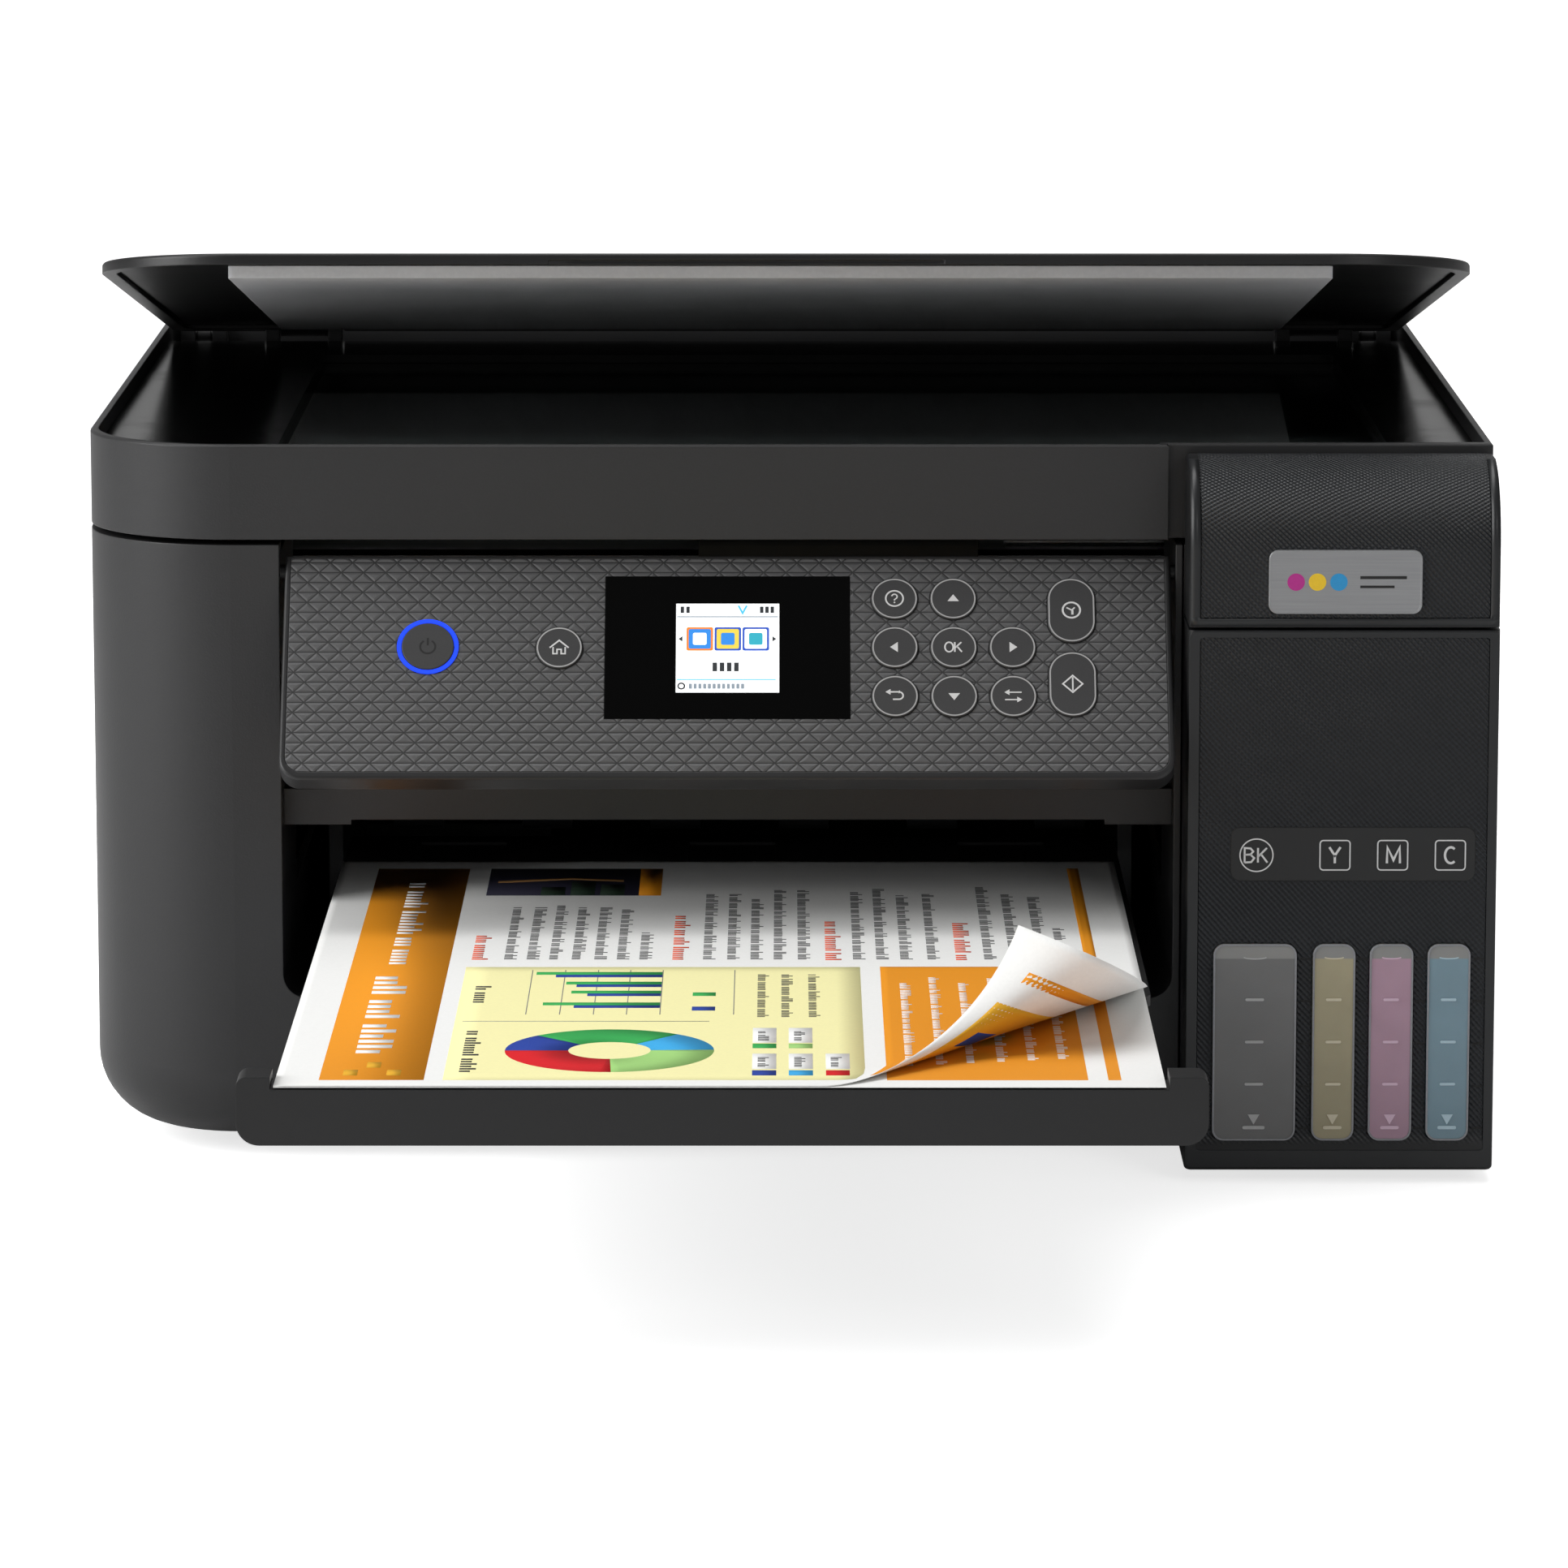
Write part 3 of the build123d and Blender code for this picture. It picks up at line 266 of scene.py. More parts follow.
def lattice_panel():
    """The panel's face: a moulded lattice of triangles, in fine grooves painted dark as shade."""
    finish = moulded("panel_pattern", "#515152", 0.46, 0.35, 0.01, 1.3)
    base = finish.shader.inputs["Base Color"].links[0].from_socket
    normal = finish.shader.inputs["Normal"].links[0].from_socket
    rows = finish.math("DIVIDE", finish.along(PANEL_UP), LATTICE_ROW * MM)
    columns = finish.math("DIVIDE", finish.along((1, 0, 0)), LATTICE_BASE * MM)
    half_rows = finish.math("MULTIPLY", rows, 0.5)
    leaning = LATTICE_BASE * LATTICE_ROW * 2 / sqrt(LATTICE_BASE ** 2 + 4 * LATTICE_ROW ** 2)
    distances = [finish.math("MULTIPLY", finish.math("PINGPONG", rows, 0.5), LATTICE_ROW)]
    for operation in ("ADD", "SUBTRACT"):
        family = finish.math(operation, columns, half_rows)
        distances.append(finish.math("MULTIPLY", finish.math("PINGPONG", family, 0.5), leaning))
    nearest = finish.math("MINIMUM", finish.math("MINIMUM", distances[0], distances[1]), distances[2])
    crown = finish.step(nearest, 0.0, 0.8)
    groove_shade = finish.step(nearest, 0.26, 0.1)
    # Painted shade: the grooves are coloured near black.
    finish.set("Base Color", finish.mix(finish.math("MULTIPLY", groove_shade, 0.85), base, shade("#0c0c0d", 1.0)))
    finish.set("Normal", finish.bump(crown, 0.22, normal))
    return finish


def paper_finish(name, code):
    """Printed or plain paper: faint fibres and a matte surface."""
    finish = Finish(name, Specular_IOR_Level=0.25)
    fibres = finish.noise(0.8, 4)
    finish.set("Base Color", finish.mix(fibres, shade(code, 0.95), shade(code, 1.04)))
    finish.set("Roughness", finish.scaled(fibres, 0.15, 0.65))
    finish.set("Normal", finish.bump(fibres, 0.01))
    return finish


def printed_ink(name, code, roughness=0.45):
    """Pad-printed or silk-screened ink on plastic."""
    finish = Finish(name)
    speckle = finish.noise(0.5, 2)
    finish.set("Base Color", finish.mix(speckle, shade(code, 0.92), shade(code, 1.06)))
    finish.set("Roughness", finish.scaled(speckle, 0.1, roughness))
    return finish


def lit_pixels(name, code, strength=0.75):
    """Part of the lit display, with its fine pixel grid."""
    finish = Finish(name, Roughness=0.35)
    columns = finish.math("PINGPONG", finish.math("DIVIDE", finish.along((1, 0, 0)), 0.12 * MM), 0.5)
    rows = finish.math("PINGPONG", finish.math("DIVIDE", finish.along(PANEL_UP), 0.12 * MM), 0.5)
    gaps = finish.step(finish.math("MINIMUM", columns, rows), 0.0, 0.2)
    colour = finish.mix(gaps, shade(code, 0.8), shade(code, 1.0))
    finish.set("Base Color", colour)
    finish.set("Emission Color", colour)
    finish.shader.inputs["Emission Strength"].default_value = strength
    return finish


LIQUID_TOP = 61.1


def frosted_tank(name, code, air_code="#8c8c8a"):
    """Frosted tank wall with ink behind it: a pale air gap above the ink, ink darker towards the bottom, and pale
    edges painted as a highlight.
    """
    finish = Finish(name, Specular_IOR_Level=0.5, Subsurface_Weight=0.12, Subsurface_Scale=0.002)
    normal, edges = finish.rounded(0.8)
    height = finish.along((0, 0, 1))
    haze = finish.noise(12, 3)
    ink = finish.mix(haze, shade(code, 0.86), shade(code, 1.1))
    # The ink is made darker towards the bottom.
    towards_bottom = finish.step(height, 40 * MM, 12 * MM)
    ink = finish.mix(finish.math("MULTIPLY", towards_bottom, 0.25), ink, shade(code, 0.7))
    above_ink = finish.step(height, (LIQUID_TOP - 0.4) * MM, LIQUID_TOP * MM)
    colour = finish.mix(above_ink, ink, shade(air_code, 1.0))
    # Painted highlight: the rounded edges are coloured pale grey.
    colour = finish.mix(edges, colour, shade("#a8a8a6", 1.0))
    finish.set("Base Color", colour)
    finish.set("Roughness", finish.scaled(haze, 0.15, 0.28))
    finish.set("Normal", finish.bump(finish.noise(0.6, 2), 0.006, normal))
    return finish


def metal(name, code, roughness=0.3, **values):
    """Bare metal with fine drawn lines along X."""
    finish = Finish(name, Metallic=1.0, **values)
    normal, edges = finish.rounded(0.2)
    lines = finish.add("ShaderNodeMapping", {"Vector": finish.place, "Scale": (40, 2500, 2500)})
    inputs = {"Vector": lines.outputs[0], "Scale": 1.0, "Detail": 3.0}
    streaks = finish.add("ShaderNodeTexNoise", inputs).outputs[0]
    colour = finish.mix(streaks, shade(code, 0.85), shade(code, 1.1))
    # Painted highlight: the edges are coloured lighter.
    finish.set("Base Color", finish.mix(edges, colour, shade(code, 1.3)))
    finish.set("Roughness", finish.scaled(streaks, 0.15, roughness))
    finish.set("Normal", finish.bump(streaks, 0.006, normal))
    return finish


def clear(name, code, roughness=0.03):
    """Clear glass or plastic, with faint wipe marks."""
    finish = Finish(name, Transmission_Weight=1.0, IOR=1.5)
    wipes = finish.noise(30, 5)
    finish.set("Base Color", finish.mix(wipes, shade(code, 0.95), shade(code, 1.0)))
    finish.set("Roughness", finish.scaled(finish.step(wipes, 0.5, 0.8), 0.04, roughness))
    return finish


def circuit_board():
    """Green board, with a pattern of tracks a little raised."""
    finish = Finish("board_green", Specular_IOR_Level=0.5)
    bricks = finish.add("ShaderNodeTexBrick", {"Vector": finish.place, "Scale": 120.0}, offset=0.3)
    tracks = bricks.outputs["Fac"]
    finish.set("Base Color", finish.mix(tracks, shade("#14462c", 1.0), shade("#2c6b45", 1.0)))
    finish.set("Roughness", finish.scaled(finish.noise(5, 2), 0.2, 0.35))
    finish.set("Normal", finish.bump(tracks, 0.03))
    return finish


FINISHES = {
    "case_black": moulded("case_black", "#252526", 0.44, 0.55, 0.03, 1.8, 0.5),
    "tank_black": woven_tank(),
    "gloss_black": glossy("gloss_black", "#030303", 0.16, Specular_IOR_Level=0.1),
    "lid_black": moulded("lid_black", "#0e0e0f", 0.4, 0.5, 0.018, 2.2, 0.5),
    # The mat's near-white base is painted light, standing in for front light that its downward face doesn't get.
    "mat_grey": moulded("mat_grey", "#e2e2e4", 0.6, 1.2, 0.03, 1.3),
    "panel_black": moulded("panel_black", "#1c1c1d", 0.4, 0.45, 0.012, 2.4, 0.5),
    "panel_pattern": lattice_panel(),
    "button_black": moulded("button_black", "#343435", 0.5, 0.35, 0.01, 1.4, 0.2),
    "ring_blue": lit_pixels("ring_blue", "#1440f0", 0.8),
    "lcd": lit_pixels("lcd", "#f4f6f8", 0.7),
    "glass": clear("glass", "#dfe8e6"),
    "tray_black": moulded("tray_black", "#101011", 0.45, 0.5, 0.016, 2.4, 0.4),
    "paper": paper_finish("paper", "#f2f2f0"),
    "steel": metal("steel", "#b9bbbd"),
    "rubber_black": moulded("rubber_black", "#161616", 0.85, 0.8, 0.05, 1.3),
    "mechanism_grey": moulded("mechanism_grey", "#1d1e1f", 0.5, 0.5, 0.02, 1.6),
    "roller_rubber": moulded("roller_rubber", "#2b2d30", 0.8, 0.4, 0.04, 1.2),
    "board_green": circuit_board(),
    "supply_black": moulded("supply_black", "#131314", 0.5, 0.6, 0.03, 2.0),
    "tank_black_ink": frosted_tank("tank_black_ink", "#707070"),
    "tank_yellow_ink": frosted_tank("tank_yellow_ink", "#a69d80"),
    "tank_magenta_ink": frosted_tank("tank_magenta_ink", "#b18fa1"),
    "tank_cyan_ink": frosted_tank("tank_cyan_ink", "#7a95a2"),
    "cap_grey": moulded("cap_grey", "#4c4c4e", 0.5, 0.4, 0.015, 1.4),
    "tube_clear": clear("tube_clear", "#e8eaea", 0.15),
    "badge_metal": metal("badge_metal", "#a2a3a5", 0.34),
}
for part in frame["record"]["subparts"]:
    for material_slot in frame["nodes"][part["node"]].material_slots:
        material_slot.material = FINISHES[part["material_slot"]].material

OUTLINE = printed_ink("outline_grey", "#a9a9a9")
ICON = printed_ink("icon_white", "#d8d8d8")
DARK_ICON = printed_ink("icon_dark", "#141414")
# Near-black painted shade for the recessed level dashes and the groove round the label.
RECESS_SHADE = moulded("recess_shade_black", "#060606", 0.6, 0.4, 0.01, 1.0)
SMOOTH_BORDER = moulded("border_black", "#191b1d", 0.36, 0.4, 0.008, 2.6, 0.25)
LABEL = moulded("label_black", "#131415", 0.42, 0.4, 0.008, 1.6, 0.2)
# A pale rim painted round each ink window as its highlight.
WINDOW_RIM_HIGHLIGHT = moulded("window_rim_highlight", "#85868a", 0.3, 0.6, 0.01, 1.6, 0.25)


# ---------------------------------------------------------------- flat outlines, in millimetres
def circle(centre, radius, start=0.0, end=360.0, steps=40, squash=1.0):
    """Points round an arc, from start to end in degrees; a full circle isn't closed twice."""
    full = abs(end - start) >= 360
    count = steps if full else steps + 1
    angles = [radians(start + (end - start) * i / steps) for i in range(count)]
    return [(centre[0] + radius * cos(a), centre[1] + radius * squash * sin(a)) for a in angles]


def rounded_box(x, y, radius, steps=6):
    """The outline of a box with rounded corners, anticlockwise."""
    corners = [(x[1] - radius, y[1] - radius, 0), (x[0] + radius, y[1] - radius, 90),
               (x[0] + radius, y[0] + radius, 180), (x[1] - radius, y[0] + radius, 270)]
    return [p for cx, cy, a in corners for p in circle((cx, cy), radius, a, a + 90, steps)]


def rectangle(x, y):
    return [(x[0], y[0]), (x[1], y[0]), (x[1], y[1]), (x[0], y[1])]


def between(outer, inner):
    """Faces between two closed outlines with as many points each."""
    count = len(outer)
    return [[outer[i], outer[(i + 1) % count], inner[(i + 1) % count], inner[i]] for i in range(count)]


def grid(x, y, columns, rows):
    """A box divided into cells, so that it can follow a curved surface."""
    xs = [x[0] + (x[1] - x[0]) * i / columns for i in range(columns + 1)]
    ys = [y[0] + (y[1] - y[0]) * i / rows for i in range(rows + 1)]
    return [rectangle(xs[i:i + 2], ys[j:j + 2]) for i in range(columns) for j in range(rows)]


def stroke(points, width, closed=False):
    """Faces along a line of points, with mitred corners."""
    count = len(points)
    places = [Vector(p) for p in points]
    sides = []
    for i, place in enumerate(places):
        before = places[i - 1] if i or closed else None
        after = places[(i + 1) % count] if i < count - 1 or closed else None
        runs = [(place - before).normalized()] if before is not None else []
        runs += [(after - place).normalized()] if after is not None else []
        mean = sum(runs, Vector((0, 0))).normalized()
        across = Vector((-mean.y, mean.x)) * width / 2 / max(0.4, mean.dot(runs[0]))
        sides.append((tuple(place + across), tuple(place - across)))
    faces = []
    for i in range(count if closed else count - 1):
        this, following = sides[i], sides[(i + 1) % count]
        faces.append([this[0], this[1], following[1], following[0]])
    return faces


def moved(faces, centre, scale=1.0):
    return [[(centre[0] + x * scale, centre[1] + y * scale) for x, y in face] for face in faces]


def stamp(name, faces, place, height, finish, body, thickness=0.05, smooth=False):
    """A thin piece on a surface: place(x, y, height) gives each of its points in the frame."""
    index, vertices, polygons = {}, [], []
    for face in faces:
        polygon = []
        for x, y in face:
            key = (round(x, 4), round(y, 4))
            if key not in index:
                index[key] = len(vertices)
                vertices.append(place(x, y, height))
            if index[key] not in polygon:
                polygon.append(index[key])
        if len(polygon) > 2:
            polygons.append(polygon)
    mesh = bpy.data.meshes.new(name)
    mesh.from_pydata(vertices, [], polygons)
    x, y = faces[0][0]
    outwards = place(x, y, height + 1) - place(x, y, height)
    if mesh.polygons[0].normal.dot(outwards) < 0:
        mesh.flip_normals()
    mesh.materials.append(finish.material)
    for polygon in mesh.polygons:
        polygon.use_smooth = smooth
    piece = bpy.data.objects.new(name, mesh)
    bpy.context.scene.collection.objects.link(piece)
    solid = piece.modifiers.new("thickness", "SOLIDIFY")
    solid.thickness = thickness * MM
    solid.offset = -1
    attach(piece, body)
    return piece


# Letters as strokes in a box 0.7 wide and 1 high, for the ink colour marks and the OK key.
LETTERS = {
    "B": [[(0, 0), (0, 1), (0.4, 0.97), (0.58, 0.76), (0.4, 0.55), (0, 0.53)],
          [(0.4, 0.55), (0.65, 0.3), (0.45, 0.03), (0, 0)]],
    "C": [circle((0.38, 0.5), 0.36, 50, 310, 14, 1.38)],
    "K": [[(0, 0), (0, 1)], [(0.6, 1), (0.03, 0.42)], [(0.2, 0.58), (0.64, 0)]],
    "M": [[(0, 0), (0.02, 1), (0.4, 0.2), (0.78, 1), (0.8, 0)]],
    "O": [circle((0.38, 0.5), 0.38, 0, 359.9, 24, 1.3)],
    "Y": [[(0, 1), (0.34, 0.48), (0.68, 1)], [(0.34, 0.5), (0.34, 0)]],
}


def lettering(word, height, weight):
    """Strokes for a short mark, centred on its own place."""
    faces, cursor = [], 0.0
    for letter in word:
        lines = LETTERS[letter]
        for line in lines:
            faces += stroke([((cursor + x) * height, (y - 0.5) * height) for x, y in line], weight)
        cursor += 0.9
    middle = (cursor - 0.2) * height / 2
    return moved(faces, (-middle, 0))


# ---------------------------------------------------------------- keys of the control panel
KEY_TOP = 0.5
OUTLINE_WIDTH = 0.36
KEY_RADIUS = 6.2
OK_PLACE = (44.25, -27.6)
PITCH = (15.55, 14.6)
LONG_HALF = 3.3


def arrow_head(x, direction):
    return [[(x, 0.85), (x + 1.35 * direction, 0), (x, -0.85)]]


def triangle(turn):
    """A solid arrowhead that points along turn, in degrees."""
    corners = ((0, 1.24), (118, 1.72), (242, 1.72))
    return [[(reach * cos(radians(turn + angle)), reach * sin(radians(turn + angle)))
             for angle, reach in corners]]


def icon_help():
    hook = circle((0, 0.55), 0.72, 170, -60, 16) + [(0, -0.35), (0, -0.65)]
    return stroke(circle((0, 0), 2.3), 0.42, True) + stroke(hook, 0.36) + [circle((0, -1.2), 0.24, steps=12)]


def icon_back():
    bend = [(-1.4, 1.2), (1.0, 1.2)] + circle((1.0, 0.1), 1.1, 90, -90, 12) + [(-0.6, -1.0)]
    return stroke(bend, 0.42) + moved(arrow_head(0, -1), (-1.2, 1.2))


def icon_settings():
    upper = stroke([(-1.2, 1.1), (2.2, 1.1)], 0.36) + moved(arrow_head(0, -1), (-1.0, 1.1))
    lower = stroke([(-2.2, -1.1), (1.2, -1.1)], 0.36) + moved(arrow_head(0, 1), (1.0, -1.1))
    return upper + lower


def icon_stop():
    ring = stroke(circle((0, 0), 2.3), 0.5, True)
    arms = stroke([(-1.3, 0.75), (0.1, 0.0), (0.9, 0.8)], 0.4)
    return ring + arms + stroke([(0.25, 0), (0.25, -1.35)], 0.6)


def icon_start():
    diamond = stroke([(2.6, 0), (0, 2.5), (-2.6, 0), (0, -2.5)], 0.42, True)
    return diamond + stroke([(0, 2.0), (0, -2.0)], 0.4)


def icon_home():
    left_half = [(-1.6, 0.1), (-1.6, -1.9), (-0.55, -1.9), (-0.55, -0.6)]
    walls = left_half + [(-x, y) for x, y in reversed(left_half)]
    return stroke([(-2.5, -0.1), (0, 2.1), (2.5, -0.1)], 0.42) + stroke(walls, 0.38)


def icon_power():
    return stroke(circle((0, -0.2), 2.0, 122, 418, 28), 0.5) + stroke([(0, 2.4), (0, 0.2)], 0.55)


def key_place(column, row):
    return (OK_PLACE[0] + column * PITCH[0], OK_PLACE[1] + row * PITCH[1])


KEYS = {
    "help": (key_place(-1, 1), icon_help()),
    "up": (key_place(0, 1), triangle(90)),
    "left": (key_place(-1, 0), triangle(180)),
    "ok": (key_place(0, 0), lettering("OK", 2.9, 0.42)),
    "right": (key_place(1, 0), triangle(0)),
    "back": (key_place(-1, -1), icon_back()),
    "down": (key_place(0, -1), triangle(270)),
    "settings": (key_place(1, -1), icon_settings()),
    "home": ((-59.9, -27.7), icon_home()),
    "stop": ((75.5, -16.5), icon_stop()),
    "start": ((75.5, -38.6), icon_start()),
    "power": ((-94.6, -27.3), icon_power()),
}


def key_outline(name):
    """Centre line of the printed ring just inside a key's edge."""
    inset = OUTLINE_WIDTH / 2 + 0.28
    if name not in ("stop", "start"):
        return circle((0, 0), KEY_RADIUS - inset, steps=64)
    radius = KEY_RADIUS + 0.15 - inset
    return circle((0, LONG_HALF), radius, 0, 180, 32) + circle((0, -LONG_HALF), radius, 180, 360, 32)


for key, (centre, icon) in KEYS.items():
    body = f"button_{key}"
    ink = DARK_ICON if key == "power" else ICON
    stamp(f"{key}_icon", moved(icon, centre), on_panel, KEY_TOP + 0.03, ink, body)
    if key != "power":
        ring = stroke(key_outline(key), OUTLINE_WIDTH, True)
        stamp(f"{key}_outline", moved(ring, centre), on_panel, KEY_TOP + 0.03, OUTLINE, body)

# ---------------------------------------------------------------- page on the display
# Bars stand for words and plain tiles for pictures.
LCD_X = (-29.1, -1.8)
LCD_Y = (-41.0, -14.3)
GLOW = {name: lit_pixels(f"lcd_{name}", code) for name, code in {
    "grey": "#7f8a94", "blue": "#2f7fd0", "sky": "#4db4e8", "orange": "#f07a2a", "teal": "#2f9db0",
    "gold": "#d8c04a", "white": "#f8fafc", "ink": "#2a2d30", "navy": "#2b4fb0"}.items()}
TILE = 7.0
TILE_START, TILE_PITCH, TILE_Y = -22.8, 7.4, -24.9


def lcd(name, faces, colour, layer=1):
    stamp(f"lcd_{name}", faces, on_panel, 0.02 * layer, GLOW[colour], "control_panel", 0.015)


lcd("header_line", [rectangle((LCD_X[0] + 0.3, LCD_X[1] - 0.3), (-18.4, -18.1))], "grey")
lcd("footer_line", [rectangle((LCD_X[0] + 0.3, LCD_X[1] - 0.9), (-37.2, -36.9))], "sky")
lcd("signal_mark", stroke([(-12.6, -14.9), (-11.5, -17.2), (-10.4, -14.9)], 0.5), "sky")
corner_starts = (-27.9, -26.4, -6.9, -5.5, -4.1)
lcd("corner_marks", [rectangle((x, x + 0.9), (-17.1, -15.2)) for x in corner_starts], "ink")
TILE_COLOURS = (("orange", "blue", "white"), ("navy", "gold", "blue"), ("navy", "white", "teal"))
for number, colours in enumerate(TILE_COLOURS):
    centre = (TILE_START + number * TILE_PITCH, TILE_Y)
    for layer, (colour, half) in enumerate(zip(colours, (TILE / 2, TILE / 2 - 0.55, TILE / 2 - 1.7)), 1):
        outline = rounded_box((-half, half), (-half, half), 0.5)
        lcd(f"tile_{number + 1}_{layer}", moved([outline], centre), colour, layer)
lcd("left_arrow", [[(-28.4, -24.9), (-27.4, -24.1), (-27.4, -25.7)]], "ink")
lcd("right_arrow", [[(-2.6, -24.9), (-3.6, -24.1), (-3.6, -25.7)]], "ink")
caption_starts = (-19.4, -17.5, -15.6, -13.7)
lcd("caption", [rectangle((x, x + 1.2), (-34.6, -32.0)) for x in caption_starts], "ink")
lcd("footer_dot", stroke(circle((-27.6, -39.0), 0.85, steps=20), 0.4, True), "ink")
footer_starts = [-25.6 + number * 1.25 for number in range(12)]
lcd("footer_text", [rectangle((x, x + 0.8), (-39.8, -38.3)) for x in footer_starts], "grey")

# ---------------------------------------------------------------- ink tank unit
WINDOWS = {
    "black": (112.9, 134.9),
    "yellow": (139.2, 150.4),
    "magenta": (154.2, 165.7),
    "cyan": (169.5, 180.8),
}
WINDOW_Z = (11.8, 64.8)
RIM_WIDTH = 0.5
LEVELS = (49.9, 38.5, 27.1)
LEVEL_MARKS = {
    "black": printed_ink("mark_black", "#b4b4b4"),
    "yellow": printed_ink("mark_yellow", "#d2cab2"),
    "magenta": printed_ink("mark_magenta", "#d9bccf"),
    "cyan": printed_ink("mark_cyan", "#b4ccd7"),
}


def tank_window(colour, x):
    """Moulded rim painted pale as a highlight, level marks, the low mark and an ink-surface highlight on one
    tank's window.
    """
    body, middle = "printer_body", (x[0] + x[1]) / 2
    outer = rounded_box(x, WINDOW_Z, 3.0)
    inner_x = (x[0] + RIM_WIDTH, x[1] - RIM_WIDTH)
    inner = rounded_box(inner_x, (WINDOW_Z[0] + RIM_WIDTH, WINDOW_Z[1] - RIM_WIDTH), 3.0 - RIM_WIDTH)
    stamp(f"window_rim_highlight_{colour}", between(outer, inner), on_window, 0.22, WINDOW_RIM_HIGHLIGHT, body, 0.3)
    half = 2.45 if colour == "black" else 2.05
    marks = [rounded_box((middle - half, middle + half), (z - 0.35, z + 0.35), 0.33) for z in LEVELS]
    marks.append(rounded_box((middle - half * 1.2, middle + half * 1.2), (14.9, 15.8), 0.4))
    marks.append([(middle - 1.55, 18.9), (middle, 16.2), (middle + 1.55, 18.9)])
    light = LEVEL_MARKS[colour]
    stamp(f"level_marks_{colour}", marks, on_window, 0.3, light, body, 0.35)
    # Painted highlight: a pale curve at the ink's surface.
    meniscus_highlight = stroke(circle((middle, LIQUID_TOP + 0.2), half * 1.2, 180, 360, 16, 0.16), 0.3)
    stamp(f"ink_surface_highlight_{colour}", meniscus_highlight, on_window, 0.05, light, body, 0.1)


for ink_colour, window_x in WINDOWS.items():
    tank_window(ink_colour, window_x)

dashes = [rectangle((x, x + 2.7), (z - 0.3, z + 0.3))
          for x in (135.9, 151.0, 166.3, 181.7) for z in (60.8, 49.4, 37.9, 26.4, 15.0)]
stamp("level_dashes", dashes, on_tank, 0.04, RECESS_SHADE, "printer_body", 0.03)

housing_outer = rounded_box((TANK_X[0] + 0.3, TANK_X[1] - 0.3), (4.4, 148.2), 1.6)
housing_inner = rounded_box((WEAVE_X[0], WEAVE_X[1]), (WEAVE_Z[0] - 1, WEAVE_Z[1]), 0.8)
tank_border = between(housing_outer, housing_inner)
stamp("tank_border", tank_border, on_tank, 0.22, SMOOTH_BORDER, "printer_body", 0.25)
BORDER_TOP = COVER_TOP - COVER_ROUND + COVER_ROUND * radians(78)
cover_border = grid((TANK_X[0] + 0.5, WEAVE_X[0]), (COVER_BOTTOM + 2.3, BORDER_TOP), 1, 40)
cover_border += grid((WEAVE_X[1], TANK_X[1] - 0.5), (COVER_BOTTOM + 2.3, BORDER_TOP), 1, 40)
lower_spans = ((TANK_X[0] + 0.5, WEAVE_X[0]), WEAVE_X, (WEAVE_X[1], TANK_X[1] - 0.5))
cover_border += [rectangle(span, (COVER_BOTTOM + 0.25, COVER_BOTTOM + 2.3)) for span in lower_spans]
stamp("cover_border", cover_border, on_cover, 0.22, SMOOTH_BORDER, "tank_cover", 0.25,
      smooth=True)

LABEL_X = (117.3, 181.6)
LABEL_Z = (81.8, 96.0)
MARK_Z = 88.6
MARK_LINE = 0.34
label_outline = rounded_box(LABEL_X, LABEL_Z, 2.5)
stamp("label_plate", [label_outline], on_tank, 0.12, LABEL, "printer_body", 0.12)
label_rim = stroke(label_outline, 0.35, True)
stamp("label_rim", label_rim, on_tank, 0.05, RECESS_SHADE, "printer_body", 0.05)
BOX_HALF = 3.95
black_mark = (124.0, MARK_Z)
black_ring = stroke(circle(black_mark, 4.35, steps=48), MARK_LINE, True)
marks = black_ring + moved(lettering("BK", 3.9, 0.5), black_mark)
for letter, x in (("Y", 144.7), ("M", 159.9), ("C", 175.1)):
    box = rounded_box((x - BOX_HALF, x + BOX_HALF), (MARK_Z - BOX_HALF, MARK_Z + BOX_HALF), 0.9)
    marks += stroke(box, MARK_LINE, True) + moved(lettering(letter, 4.3, 0.62), (x, MARK_Z))
stamp("ink_marks", marks, on_tank, 0.17, ICON, "printer_body")

BADGE_X = (126.5, 166.7)
BADGE_Z = (153.0, 169.9)
for number, code in enumerate(("#b8288c", "#f0c828", "#2896d2")):
    dot = circle((133.6 + number * 5.6, 161.4), 2.3, steps=32)
    dot_ink = printed_ink(f"badge_ink_{number + 1}", code)
    stamp(f"badge_dot_{number + 1}", [dot], on_badge, 0.04, dot_ink, "tank_cover")
badge_bars = [rectangle((150.4, 162.6), (162.2, 163.0)), rectangle((150.4, 159.4), (159.8, 160.5))]
stamp("badge_bars", badge_bars, on_badge, 0.04, DARK_ICON, "tank_cover")
edge_x = (BADGE_X[0] + 0.3, BADGE_X[1] - 0.3)
edge_z = (BADGE_Z[0] + 0.3, BADGE_Z[1] - 0.3)
badge_edge = stroke(rounded_box(edge_x, edge_z, 2.2), 0.4, True)
stamp("badge_edge", badge_edge, on_badge, 0.06, FINISHES["badge_metal"], "tank_cover", 0.08)

